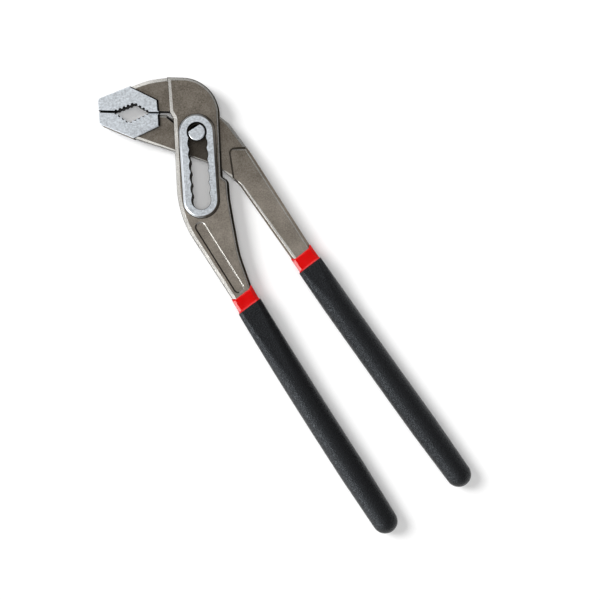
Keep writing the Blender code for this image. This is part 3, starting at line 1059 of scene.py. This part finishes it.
@dataclass(frozen=True)
class DippedHandle:
    """A handle's tang and its two dipped coats: a red one that shows as a ring, and a black one over it.

    The handle bows to its right, and the lower the lead the nearer to its start. The tables hold pairs of a
    wall and a distance. The red coat's walls and the black mouth are counted from the steel, and the black
    front from the black lip. Distances are from the ring's start in the red front, else from its end.
    """

    arm: str
    start: Vector
    angle: float
    length: float
    bow: float
    ring_start: float = 0.0
    ring_tilt: float = 0.0002
    swell: float = 0.0200
    bow_lead: float = 0.7
    ring_sag: float = 0.0014
    sag_power: int = 6
    ring_length: float = 0.0080
    steel: Section = Section(0.0, 0.0055, 0.0049, 0.0015, 0.0011, 0.0004)
    tang_section: Section = Section(0.0, 0.0040, 0.0038, 0.0016, 0.0016, 0.0012)
    tang_root: float = 0.012
    tang_gap: float = 0.002
    black_lip: Section = Section(0.0, 0.0064, 0.0060, 0.0020, 0.0016, 0.0008)
    black_body: Section = Section(0.0, 0.00665, 0.0064, 0.0048, 0.0032, 0.0058)
    black_tip: Section = Section(0.0, 0.00605, 0.0061, 0.0043, 0.0031, 0.0053)
    black_taper: float = 0.035
    steel_reach: float = 0.0040
    end_wall: float = 0.0030
    red_bore: float = 0.0001
    red_seat: Pair = (0.0004, 0.0003)
    red_front: Table = ((0.00004, 0.0), (0.000073, -0.00005), (0.000198, 0.0001), (0.00033, 0.0005))
    red_back: Table = ((0.00033, -0.0008), (0.000402, -0.0005), (0.000546, -0.0002), (0.00069, 0.0),
                       (0.00069, 0.001))
    red_under: Pair = (0.0008, 0.006)
    black_bore: Pair = (0.0009, 0.0062)
    black_mouth: Table = ((0.00073, 0.0012), (0.00073, 0.0001), (0.00079, 0.0))
    black_front: Table = ((-0.00012, 0.00012), (-0.00003, 0.0004), (0.0, 0.0008))
    bore_ends: Pair = (-0.0008, 0.0004)
    step: float = 0.0025
    end_rings: int = 10
    end_share: float = 1 / 3

    def along(self, distance: float) -> Vector:
        """Returns the point on the straight line of the handle at a distance."""
        return self.start + heading(self.angle) * distance

    def steel_end(self) -> list[Corner]:
        """Finds the corners of the steel inside the coats.

        Returns:
            The corners, from its left side round to its right.
        """
        across = heading(self.angle + 90) * self.steel.half_width
        near = self.along(self.ring_start)
        far = self.along(self.steel_reach)
        return [(near - across, 0), (far - across, 0), (far + across, 0), (near + across, 0)]

    def ring(self, section: Section, sag: float = 0.0, tilt: float = 0.0) -> list[Vector]:
        """Returns the points of a section on the handle's bowed centre line.

        Args:
            section: The section.
            sag: How far its faces hang down the handle between its sides.
            tilt: How far its right side climbs the handle.

        Returns:
            The points of the section.
        """
        share = limited(section.distance / self.length)
        shift = self.bow * math.sin(math.pi * share ** self.bow_lead)
        across = heading(self.angle + 90)
        points = []
        for point in section.outline():
            side = point.x / section.half_width
            hang = sag * (1 - side ** self.sag_power) - tilt * side
            place = self.along(section.distance + hang) + across * (point.x - shift)
            points.append(Vector((place.x, place.y, MID_HEIGHT + point.y)))
        return points

    def round_end(self, section: Section, end: float) -> list[Section]:
        """Returns the sections that close a coat or tang in a round end.

        Args:
            section: The section that the end is made from.
            end: The distance at which it ends.

        Returns:
            The sections towards the end.
        """
        radius = section.half_width
        turns = [heading(90 * step / self.end_rings) for step in range(self.end_rings)]
        sections = [section.shrunk(end - radius * (1 - turn.y), turn.x) for turn in turns]
        return sections + [section.shrunk(end, turns[-1].x * self.end_share)]

    def loft(self, name: str, sections: Sequence[Section], sagging: range = range(0),
             tilted: range = range(0)) -> Piece:
        """Builds a piece through sections along the handle.

        Args:
            name: The name of the piece.
            sections: The sections in order.
            sagging: The indices of the sections whose faces hang as the ring's edge does.
            tilted: The indices of the sections that are tilted as the ring is.

        Returns:
            The piece.
        """
        rings = [self.ring(sections[0])]
        for index, (first, last) in enumerate(zip(sections, sections[1:]), 1):
            count = max(1, math.ceil(abs(last.distance - first.distance) / self.step))
            rings += [self.ring(first.toward(last, step / count)) for step in range(1, count)]
            sag = self.ring_sag if index in sagging else 0.0
            tilt = self.ring_tilt if index in tilted else 0.0
            rings.append(self.ring(last, sag, tilt))
        return mesh_piece(name, rings, [Zone.BLASTED] * (len(rings) + 1))

    def tang(self) -> Piece:
        """Builds the bar of steel inside the coats, rooted in the handle.

        Returns:
            The tang.
        """
        end = self.length - self.end_wall - self.tang_gap
        root = self.tang_section.at(-self.tang_root)
        return self.loft("tang", [root, *self.round_end(self.tang_section, end)])

    def red_coat(self) -> Piece:
        """Builds the first dip: a closed sleeve over the handle's end, with a fillet up to the black dip.

        Returns:
            The coat.
        """
        bore = self.tang_section.grown(self.red_bore)
        mouth = self.steel.grown(self.red_front[0][0])
        under = self.tang_section.grown(self.red_under[0])
        end = self.length - self.end_wall
        stop = self.ring_start + self.ring_length
        inside = [
            *self.round_end(bore, end + self.bore_ends[0])[::-1],
            bore.at(self.steel_reach + self.red_seat[0]),
            mouth.at(self.steel_reach + self.red_seat[1]),
        ]
        front = self.steel.steps(self.red_front, self.ring_start)
        back = self.steel.steps(self.red_back, stop)
        sections = [*inside, *front, *back, under.at(stop + self.red_under[1]), *self.round_end(under, end)]
        first = len(inside)
        last = first + len(front)
        return self.loft(self.arm + "_red_ring", sections, range(first, last), range(first, last + len(back)))

    def black_coat(self) -> Piece:
        """Builds the second dip: a closed sleeve that swells behind its lip and thins to its tip.

        Returns:
            The coat.
        """
        bore = self.tang_section.grown(self.black_bore[0])
        begin = self.ring_start + self.ring_length
        inside = [
            *self.round_end(bore, self.length - self.end_wall + self.bore_ends[1])[::-1],
            bore.at(begin + self.black_bore[1]),
        ]
        lip = self.steel.steps(self.black_mouth, begin) + self.black_lip.steps(self.black_front, begin)
        body = [
            self.black_body.at(begin + self.swell),
            self.black_body.at(self.length - self.black_taper),
            *self.round_end(self.black_tip, self.length),
        ]
        tilted = range(len(inside), len(inside + lip))
        return self.loft(self.arm + "_black_sleeve", inside + lip + body, tilted=tilted)


@dataclass(frozen=True)
class PivotPin:
    """The pivot: a round pin, ground flush with the boss, with a flat at both ends to pass the slot."""

    radius: float = 0.0040
    clearance: float = 0.00005
    flat_offset: float = 0.0022
    flat_angle: float = 119.0
    flat_depth: float = 0.0042
    rim: Rim = Rim(0.00035, 0.0003, softness=0.00012)

    def build(self, half: float) -> Piece:
        """Builds the pin through the whole thickness of the tool.

        Args:
            half: Half of that thickness.

        Returns:
            The pin.
        """
        pin = plate("pivot_pin_ground", circle(self.radius), half, self.rim, Zone.GROUND, Zone.GROUND)
        out = heading(self.flat_angle)
        along = heading(self.flat_angle + 90) * 2 * self.radius
        near = out * self.flat_offset
        far = out * 2 * self.radius
        # Painted shade: the flats take the near-black cut finish
        sink(pin, [near - along, near + along, far + along, far - along], half - self.flat_depth, 2 * half)
        return pin


@dataclass(frozen=True)
class ThroughArm:
    """The forging with the lower jaw, the web that runs through the window, and the right-hand handle."""

    jaws: PipeJaws
    layers: Layers
    pin: PivotPin
    eye_crown: float = 0.0106
    eye_shoulder: Vector = spot(0.0155, 0.0036)
    eye_radius: float = 0.0070
    eye_back_radius: float = 0.0035
    throat: Vector = spot(-0.0116, 0.0077)
    throat_radius: float = 0.0012
    step_radius: float = 0.0018
    step_distance: float = 0.0140
    jaw_inset: float = 0.001
    hollow: Line = (spot(-0.0138, 0.0084), spot(-0.0104, 0.0053))
    hollow_width: float = 0.0009
    hollow_depth: float = 0.0005
    heel: Vector = spot(0.0080, -0.0160)
    heel_radius: float = 0.0200
    crook: Vector = spot(0.0183, -0.0260)
    crook_radius: float = 0.0120
    bend: Vector = spot(0.0250, -0.0113)
    bend_radius: float = 0.0250
    raised_corner: Vector = spot(0.0149, -0.0087)
    raised_foot: float = 0.0161
    raised_radius: float = 0.0022
    foot_turn: Vector = spot(0.0014, 0.0007)
    step_turn: Vector = spot(-0.0007, -0.0016)
    web_rim: Rim = WebRim(0.0011, 0.0006, 0.0002, 0.0001, 0.0001, covered=0.0105, run=0.0015)
    raised_rim: Rim = SidedRim(0.0010, 0.0003, 0.0003, 0.0010, 0.0002, start=-0.024, run=0.006,
                               upper_left=(0.4, 0.0, 0.05), upper_right=(1.2, 1.0, 0.3),
                               lower_left=(0.9, 0.3, 1.2), lower_right=(1.3, 1.0, 0.15))
    relief_width: float = 0.0005
    relief_depth: float = 0.0005
    # Painted shade: a stadium round the eye and down the slot, sunk a hair deep in the dark wall finish,
    # darkens the web where it shows through the slot
    shade_disc_radius: float = 0.0062
    shade_disc_length: float = 0.0180
    shade_disc_depth: float = 0.00002
    handle: DippedHandle = DippedHandle("through_arm", spot(0.0456, -0.06035), -58.5, 0.1376, 0.00035,
                                        steel=Section(0.0, 0.0055, 0.0046, 0.0015, 0.0011, 0.0004))

    def lower_edge(self) -> Line:
        """Returns the lower edge of the web, from the lower jaw to its heel."""
        return self.jaws.peak(Jaw.LOWER) + spot(-SEAM, SEAM) * 2, self.heel

    def heel_edge(self) -> Line:
        """Returns the edge of the web from its heel to the crook of the handle."""
        return self.heel, self.crook

    def back_edge(self) -> Line:
        """Returns the edge of the web from the bend of its back up to the eye's shoulder."""
        return self.bend, self.eye_shoulder

    def raised_step(self) -> Vector:
        """Returns the place where the step of the raised handle meets the back of the web."""
        return crossing((self.raised_corner, self.raised_corner + spot(1.0, 0.0)), self.back_edge())

    def raised_end(self) -> Vector:
        """Returns the foot of the raised handle's left edge."""
        return crossing((spot(self.raised_foot, 0.0), spot(self.raised_foot, 1.0)), self.heel_edge())

    def web_outline(self) -> list[Vector]:
        """Draws the lower jaw, the web, the eye and the root of the handle.

        Returns:
            The outline.
        """
        jaws = self.jaws
        foot = self.raised_end()
        step = self.raised_step()
        half_eye = self.pin.radius + self.eye_back_radius
        return rounded([
            *jaws.hidden_root(Jaw.LOWER),
            (self.heel, self.heel_radius),
            (foot, 0),
            (foot + self.foot_turn, 0),
            (step + self.step_turn, 0),
            (step, 0),
            (self.eye_shoulder, self.eye_radius),
            (spot(half_eye, self.eye_crown), self.eye_radius),
            (spot(-half_eye, self.eye_crown), self.eye_back_radius),
            (self.throat, self.throat_radius),
            (jaws.bite(-self.step_distance - SEAM, jaws.edge(Jaw.LOWER, SEAM)), self.step_radius),
            jaws.hidden_back(Jaw.LOWER),
            (jaws.inner(-jaws.tip_height / 2) - spot(self.jaw_inset, 0.0), 0),
        ])

    def raised_outline(self) -> list[Vector]:
        """Draws the raised handle, from its step to inside the red coat.

        Returns:
            The outline.
        """
        return rounded([
            (self.raised_corner, self.raised_radius),
            (self.raised_end(), self.raised_radius),
            (self.crook, self.crook_radius),
            *self.handle.steel_end(),
            (self.bend, self.bend_radius),
            (self.raised_step(), 0),
        ])

    def build(self) -> Piece:
        """Builds the forging.

        Returns:
            The forging.
        """
        layers = self.layers
        web, over = layers.web, layers.boss
        arm = plate("through_arm_forging", self.web_outline(), web, self.web_rim)
        combine(arm, self.jaws.pad(Jaw.LOWER, layers.pad), Joining.ADD)
        # Painted shade: the groove round the raised handle's foot takes the dark wall finish
        sink(arm, self.raised_outline(), web - self.relief_depth, over, self.relief_width, Zone.WALL)
        # Painted shade: the web round the eye, seen through the slot, takes the dark wall finish
        shade_disc = stadium(spot(0.0, 0.0), spot(0.0, -self.shade_disc_length), self.shade_disc_radius)
        sink(arm, shade_disc, web - self.shade_disc_depth, over, zone=Zone.WALL)
        # Painted shade: a shallow near-black hollow at the throat
        sink(arm, stadium(*self.hollow, self.hollow_width / 2), web - self.hollow_depth, over)
        raised = plate("raised", self.raised_outline(), layers.raised, self.raised_rim, wall=Zone.BLASTED)
        combine(arm, raised, Joining.ADD)
        combine(arm, self.handle.tang(), Joining.ADD)
        eye = circle(self.pin.radius + self.pin.clearance)
        combine(arm, cutter("eye", eye, [(-over, 0), (over, 0)]), Joining.CUT)
        return arm


@dataclass(frozen=True)
class SlottedArm:
    """The forging with the upper jaw, the slotted head with its window, and the left-hand handle.

    The pocket's profile holds pairs of a height above its floor, in shares of its depth, and of how far it is
    widened there, in shares of half its slope. Walls of the pocket that face right by more than its share get
    painted shade: the dark wall finish.
    """

    jaws: PipeJaws
    layers: Layers
    pin: PivotPin
    through: ThroughArm
    notch_count: int = 7
    notch_depth: float = 0.00060
    boss_land: float = 0.00405
    head_margin: float = 0.0023
    lean: float = 0.02
    top: float = 0.0276
    step_distance: float = 0.0125
    crown_drop: float = 0.0024
    crown_radius: float = 0.0180
    corner_radius: float = 0.0016
    shoulder_radius: float = 0.0026
    shoulder_rise: float = 0.0105
    shoulder_step: float = 0.0028
    shoulder_drop: float = 0.0019
    waist_x: float = 0.0163
    waist_drop: float = 0.0265
    waist_radius: float = 0.0600
    heel_drop: float = 0.0066
    heel_radius: float = 0.0500
    throat_height: float = 0.0074
    brow_bulge: Vector = spot(-0.0003, 0.0009)
    brow_radius: float = 0.0400
    jaw_reach: float = 0.0040
    jaw_drop: float = 0.0030
    jaw_turn: float = 0.0020
    window_clearance: float = 0.0003
    pocket_length: float = 0.0342
    pocket_setback: float = 0.0034
    pocket_half_width: float = 0.0023
    pocket_depth: float = 0.0007
    pocket_slope: float = 0.0005
    pocket_profile: Table = ((0.0, -1.3), (0.1, -1.0), (0.9, 1.0), (1.0, 1.4), (2.0, 1.4))
    pocket_facing: float = 0.3
    head_rim: Rim = SidedRim(0.0014, 0.0007, 0.0003, 0.0006, 0.0003, upright=Layers.window,
                             start=0.0095, run=0.002,
                             upper_left=(0.6, 0.7, 0.9), upper_right=(0.9, 1.6, 0.2),
                             lower_left=(0.4, 0.7, 1.0), lower_right=(1.4, 1.5, 0.1))
    jaw_rim: Rim = Rim(0.0008, 0.0005, 0.0, 0.0002, 0.0002, rise=0.85)
    boss_rim: Rim = Rim(0.0010, 0.0013, 0.0, 0.0, 0.0003)
    foot_width: float = 0.00025
    foot_depth: float = 0.0003
    slot_chamfer: float = 0.0002
    handle: DippedHandle = DippedHandle("slotted_arm", spot(0.0164, -SLOT_TRAVEL - 0.0461), -61.8, 0.1353,
                                        0.0008, ring_start=-0.0010, ring_tilt=0.0005, swell=0.0450)

    def channel(self) -> float:
        """Returns half of the slot's clear width."""
        return self.pin.radius + self.pin.clearance

    def boss_radius(self) -> float:
        """Returns the radius of the boss round the slot."""
        return self.channel() + self.notch_depth + self.boss_land

    def edge(self, side: int, y: float) -> Vector:
        """Returns the place on the head's right (1) or left (-1) edge, which leans a little from the slot."""
        return spot(side * (self.boss_radius() + self.head_margin) + self.lean * y, y)

    def head_outline(self) -> list[Vector]:
        """Draws the head and the handle, behind the step of the jaw.

        Returns:
            The outline.
        """
        slot_end = -SLOT_TRAVEL
        shoulder = self.edge(1, slot_end + self.shoulder_rise)
        outer = shoulder + spot(self.shoulder_step, -self.shoulder_drop)
        return rounded([
            (self.jaws.bite(-self.step_distance, self.jaws.gap / 2), 0),
            (spot(-self.step_distance, self.top), 0),
            (self.edge(1, self.top - self.crown_drop), self.crown_radius),
            (shoulder, self.corner_radius),
            (outer, self.shoulder_radius),
            (spot(outer.x, slot_end), self.waist_radius),
            (spot(self.waist_x, slot_end - self.waist_drop), self.waist_radius),
            *self.handle.steel_end()[::-1],
            (self.edge(-1, slot_end - self.heel_drop), self.heel_radius),
            (self.edge(-1, self.throat_height), self.corner_radius),
        ])

    def jaw_outline(self) -> list[Vector]:
        """Draws the upper jaw, from under its pad to inside the head.

        Returns:
            The outline.
        """
        jaws = self.jaws
        step = self.step_distance
        gap = jaws.edge(Jaw.UPPER, SEAM)
        inside = self.jaw_reach - step
        return rounded([
            *jaws.hidden_root(Jaw.UPPER),
            ((jaws.peak(Jaw.UPPER) + spot(-step, self.top)) / 2 + self.brow_bulge, self.brow_radius),
            (spot(-step, self.top - SEAM), 0),
            (spot(inside, self.top - self.jaw_drop), 0),
            (spot(inside, jaws.bite(-step, jaws.height / 2).y), 0),
            (jaws.bite(self.jaw_turn - step, gap + self.jaw_turn), 0),
            (jaws.bite(-step, gap), 0),
            jaws.hidden_back(Jaw.UPPER),
            (jaws.inner(jaws.tip_height), 0),
        ])

    def slot_outline(self) -> list[Vector]:
        """Draws the slot: a clear channel with a row of round notches.

        Returns:
            The outline.
        """
        radius = self.channel() + self.notch_depth
        half = math.degrees(math.acos(self.channel() / radius))
        pitch = SLOT_TRAVEL / (self.notch_count - 1)
        top, *middle, bottom = [spot(0.0, -pitch * notch) for notch in range(self.notch_count)]
        points = arc(top, radius, 180 + half, -half)
        for centre in middle:
            points += arc(centre, radius, half, -half)[1:]
        points += arc(bottom, radius, half, -180 - half)[1:]
        for centre in reversed(middle):
            points += arc(centre, radius, 180 + half, 180 - half)[1:]
        return points[:-1]

    def cleared(self, edge: Line, angle: float, lowered: float) -> Line:
        """Returns a line clear of an edge of the web, opened by an angle and lowered along the slot."""
        first, last = (turned(point, angle) + spot(0.0, -lowered) for point in edge)
        return beside((first, last), self.window_clearance)

    def window_outline(self) -> list[Vector]:
        """Draws the room between the cheeks that the web needs, in every notch and at every opening.

        Returns:
            The outline.
        """
        web = self.through
        closed_floor = self.cleared(web.lower_edge(), 0.0, SLOT_TRAVEL)
        heel_floor = self.cleared(web.heel_edge(), 0.0, SLOT_TRAVEL)
        open_floor = self.cleared(web.lower_edge(), OPENING_ANGLE, SLOT_TRAVEL)
        roof = self.cleared(web.back_edge(), OPENING_ANGLE, 0.0)
        shoulder = turned(web.eye_shoulder, OPENING_ANGLE)
        radius = shoulder.length + self.window_clearance
        far = self.jaws.reach + self.boss_radius()
        left, right = ((spot(x, 0.0), spot(x, 1.0)) for x in (-far, far))
        first = math.degrees(math.atan2(shoulder.y, shoulder.x))
        bite = self.jaws.bite(-self.step_distance, self.jaws.gap / 2 - SEAM).y
        last = 180 - math.degrees(math.asin(bite / radius))
        return rounded([
            (crossing(open_floor, left), 0),
            (crossing(open_floor, closed_floor), 0),
            (crossing(closed_floor, heel_floor), web.heel_radius - self.window_clearance),
            (crossing(heel_floor, right), 0),
            (crossing(roof, right), 0),
            *((point, 0) for point in arc(spot(0.0, 0.0), radius, first, last)),
            (spot(-far, bite), 0),
        ])

    def pocket(self) -> Piece:
        """Builds the tool that sinks the long bare recess into the front of the handle.

        Returns:
            The tool.
        """
        near = self.handle.along(-self.pocket_setback)
        far = self.handle.along(-self.pocket_setback - self.pocket_length)
        depth = self.pocket_depth
        floor = self.layers.head - depth
        levels = [(floor + depth * rise, self.pocket_slope / 2 * wide) for rise, wide in self.pocket_profile]
        pocket = cutter("pocket", stadium(far, near, self.pocket_half_width), levels, Zone.EDGE, Zone.BLASTED)
        left = heading(self.handle.angle + 90)
        # Painted shade: walls that face away from the light take the dark wall finish
        for side in pocket.data.polygons:
            if side.normal.xy.dot(left) < -self.pocket_facing:
                side.material_index = Zone.WALL.value
        return pocket

    def add_boss(self, arm: Piece) -> None:
        """Adds the boss round the slot, in a narrow groove whose dark wall finish paints a line of shade
        round it.

        Args:
            arm: The arm that it is added to.
        """
        layers = self.layers
        outline = stadium(spot(0.0, 0.0), spot(0.0, -SLOT_TRAVEL), self.boss_radius())
        # Painted shade: the groove's floor and walls take the dark wall finish
        sink(arm, outline, layers.head - self.foot_depth, layers.boss, self.foot_width, Zone.WALL)
        # The boss's slope takes the flank finish, with light and shade painted by the way it faces
        combine(arm, plate("boss", outline, layers.boss, self.boss_rim, Zone.GROUND, Zone.FLANK), Joining.ADD)

    def slot(self) -> Piece:
        """Builds the tool that cuts the slot, with a chamfer at both faces.

        Returns:
            The tool.
        """
        face = self.layers.boss
        chamfer = self.slot_chamfer
        upper = [(face - chamfer, 0.0), (face, chamfer), (2 * face, chamfer)]
        lower = [(-height, wider) for height, wider in upper[::-1]]
        # Painted shade: the slot's walls take the near-black cut finish
        return cutter("slot", self.slot_outline(), lower + upper)

    def build(self) -> Piece:
        """Builds the forging.

        Returns:
            The forging.
        """
        layers = self.layers
        arm = plate("slotted_arm_forging", self.head_outline(), layers.head, self.head_rim)
        combine(arm, plate("jaw", self.jaw_outline(), layers.jaw, self.jaw_rim), Joining.ADD)
        combine(arm, self.jaws.pad(Jaw.UPPER, layers.pad), Joining.ADD)
        self.add_boss(arm)
        combine(arm, self.handle.tang(), Joining.ADD)
        through = [(-layers.window, 0), (layers.window, 0)]
        # Painted shade: the window's walls take the dark wall finish
        combine(arm, cutter("window", self.window_outline(), through, Zone.WALL, Zone.WALL), Joining.CUT)
        combine(arm, self.slot(), Joining.CUT)
        combine(arm, self.pocket(), Joining.CUT)
        return arm


class Shown(Enum):
    """The surfaces that a lamp shows on."""

    MATT = "matt"
    GLOSSY = "glossy"


@dataclass(frozen=True)
class Lamp:
    """One large soft light far away.

    Attributes:
        name: The name of the lamp.
        strength: How strongly it shines.
        angle: How wide it looks from the tool.
        azimuth: The side that it shines from.
        elevation: How high it hangs, where 90 is straight above.
        shown: The surfaces that it shows on.
    """

    name: str
    strength: float
    angle: float
    azimuth: float
    elevation: float
    shown: Shown

    def build(self) -> None:
        """Hangs the lamp."""
        light = bpy.data.lights.new(self.name, "SUN")
        light.energy = self.strength
        light.angle = math.radians(self.angle)
        lamp = bpy.data.objects.new(self.name, light)
        bpy.context.collection.objects.link(lamp)
        lamp.rotation_euler = (0.0, math.radians(90 - self.elevation), math.radians(self.azimuth))
        lamp.visible_glossy = self.shown is Shown.GLOSSY
        lamp.visible_diffuse = self.shown is Shown.MATT


@dataclass(frozen=True)
class Studio:
    """The pale floor, the soft light and the camera.

    The fade is the share of plain white on the floor over the distance from the pivot. The side and zenith
    spans give the strength of the mirrored room over the x and the z of the way that is looked in.
    """

    floor_height: float = -0.0001
    floor_half: float = 3.0
    floor_colour: Triple = (0.96, 0.96, 0.96)
    floor_rough: float = 0.9
    fade_span: Pair = (0.20, 0.45)
    fade_light: Pair = (0.15, 1.0)
    ambient: float = 0.18
    lamps: tuple[Lamp, ...] = (
        Lamp("key", 2.75, 26.0, 153.0, 46.0, Shown.MATT),
        Lamp("top", 1.1, 26.0, 0.0, 90.0, Shown.MATT),
        Lamp("left", 0.25, 24.0, 180.0, 46.0, Shown.GLOSSY),
        Lamp("back", 0.30, 24.0, 118.0, 45.0, Shown.GLOSSY),
        Lamp("front", 0.22, 24.0, 240.0, 44.0, Shown.GLOSSY),
        Lamp("low", 2.7, 34.0, 210.0, 6.0, Shown.GLOSSY),
    )
    side_span: tuple[Pair, Pair] = ((-0.5, 0.7), (1.20, 0.44))
    zenith_span: tuple[Pair, Pair] = ((0.980, 0.992), (1.0, 0.1))
    camera_place: Triple = (0.0438, -0.0835, 0.72)
    camera_turn: float = -3.9
    lens: float = 88.8
    sensor: float = 36.0

    def paper(self) -> Material:
        """Builds the floor's finish: matt under the shadow of the tool, and plain white far from it.

        Returns:
            The finish as a material.
        """
        material = bpy.data.materials.new("floor_paper")
        graph = Graph(material)
        matt = graph.tree.nodes["Principled BSDF"]
        colour = (*self.floor_colour, 1.0)
        graph.fill(matt, {"Base Color": colour, "Roughness": self.floor_rough, "Specular IOR Level": 0.0})
        distance = graph.add("VectorMath", {0: graph.place()}, operation="LENGTH").outputs["Value"]
        fade = graph.remap(distance, self.fade_span, self.fade_light)
        seen = graph.rays("Is Camera Ray", "Is Glossy Ray", "Is Transmission Ray")
        whole = graph.choice(graph.math("MULTIPLY", fade, seen), matt, graph.light("Emission", 1.0))
        graph.fill(graph.tree.nodes["Material Output"], {"Surface": whole.outputs[0]})
        return material

    def floor(self) -> Piece:
        """Lays the floor.

        Returns:
            The floor.
        """
        half = self.floor_half
        corners = [(-half, -half), (half, -half), (half, half), (-half, half)]
        mesh = bpy.data.meshes.new("floor")
        mesh.from_pydata([(x, y, self.floor_height) for x, y in corners], [], [(0, 1, 2, 3)])
        mesh.materials.append(self.paper())
        floor = bpy.data.objects.new("floor", mesh)
        bpy.context.collection.objects.link(floor)
        return floor

    def world(self) -> None:
        """Surrounds the tool with grey light, a graded room for what it mirrors, and a white background."""
        world = bpy.data.worlds.new("studio")
        bpy.context.scene.world = world
        graph = Graph(world)
        way = graph.parts(graph.place("Generated"))
        side = graph.remap(way["X"], *self.side_span)
        above = graph.remap(way["Z"], *self.zenith_span)
        room = graph.light("Background", graph.math("MULTIPLY", side, above))
        around = graph.choice(graph.rays("Is Glossy Ray"), graph.light("Background", self.ambient), room)
        seen = graph.rays("Is Camera Ray", "Is Transmission Ray")
        whole = graph.choice(seen, around, graph.light("Background", 1.0))
        graph.fill(graph.tree.nodes["World Output"], {"Surface": whole.outputs[0]})

    def camera(self) -> None:
        """Places the camera straight above the tool."""
        camera = bpy.data.cameras.new("camera")
        camera.lens = self.lens
        camera.sensor_width = self.sensor
        eye = bpy.data.objects.new("camera", camera)
        bpy.context.collection.objects.link(eye)
        eye.location = self.camera_place
        eye.rotation_euler = (0.0, 0.0, math.radians(self.camera_turn))
        bpy.context.scene.camera = eye

    def build(self) -> None:
        """Sets up the whole studio."""
        self.floor()
        self.world()
        for lamp in self.lamps:
            lamp.build()
        self.camera()
        bpy.context.scene.view_settings.view_transform = "Standard"


def dress(piece: Piece, materials: Sequence[Material], body: str, node: str) -> None:
    """Finishes a piece and hangs it on the frame.

    Args:
        piece: The piece.
        materials: Its materials, in the order of the zones.
        body: The body it moves with.
        node: The CAD node it stands for.
    """
    for zone, material in zip(Zone, materials):
        piece.data.materials[zone.value] = material
    while len(piece.data.materials) > len(materials):
        piece.data.materials.pop()
    piece.data.shade_smooth()
    piece.data.set_sharp_from_angle(angle=math.radians(SHARP_ANGLE))
    even = piece.modifiers.new("even_shading", "WEIGHTED_NORMAL")
    even.keep_sharp = True
    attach(piece, body)
    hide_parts(node)
    LOG.info("%s stands for %s with %d faces", piece.name, node, len(piece.data.polygons))


def main() -> None:
    """Builds every piece in order, hangs it on the frame and sets up the studio."""
    logging.basicConfig(level=logging.INFO, format="%(name)s: %(message)s")
    jaws = PipeJaws()
    layers = Layers()
    pin = PivotPin()
    through = ThroughArm(jaws, layers, pin)
    slotted = SlottedArm(jaws, layers, pin, through)
    finishes = (BlastedSteel(), GroundSteel(), PAINTED_SHADE_CUT, BURNISHED_EDGE, PAINTED_SHADE_WALL, FlankSteel())
    steel = [finish.material() for finish in finishes]
    red = [RED_DIP.material()]
    black = [BlackDip().material()]
    dress(slotted.build(), steel, "slotted_arm", "slotted_arm")
    dress(slotted.handle.red_coat(), red, "slotted_arm", "slotted_arm_red_coat")
    dress(slotted.handle.black_coat(), black, "slotted_arm", "slotted_arm_black_grip")
    dress(pin.build(layers.boss), steel, "pivot_pin", "pivot_pin")
    dress(through.build(), steel, "through_arm", "through_arm")
    dress(through.handle.red_coat(), red, "through_arm", "through_arm_red_coat")
    dress(through.handle.black_coat(), black, "through_arm", "through_arm_black_grip")
    Studio().build()


if __name__ == "__main__":
    main()
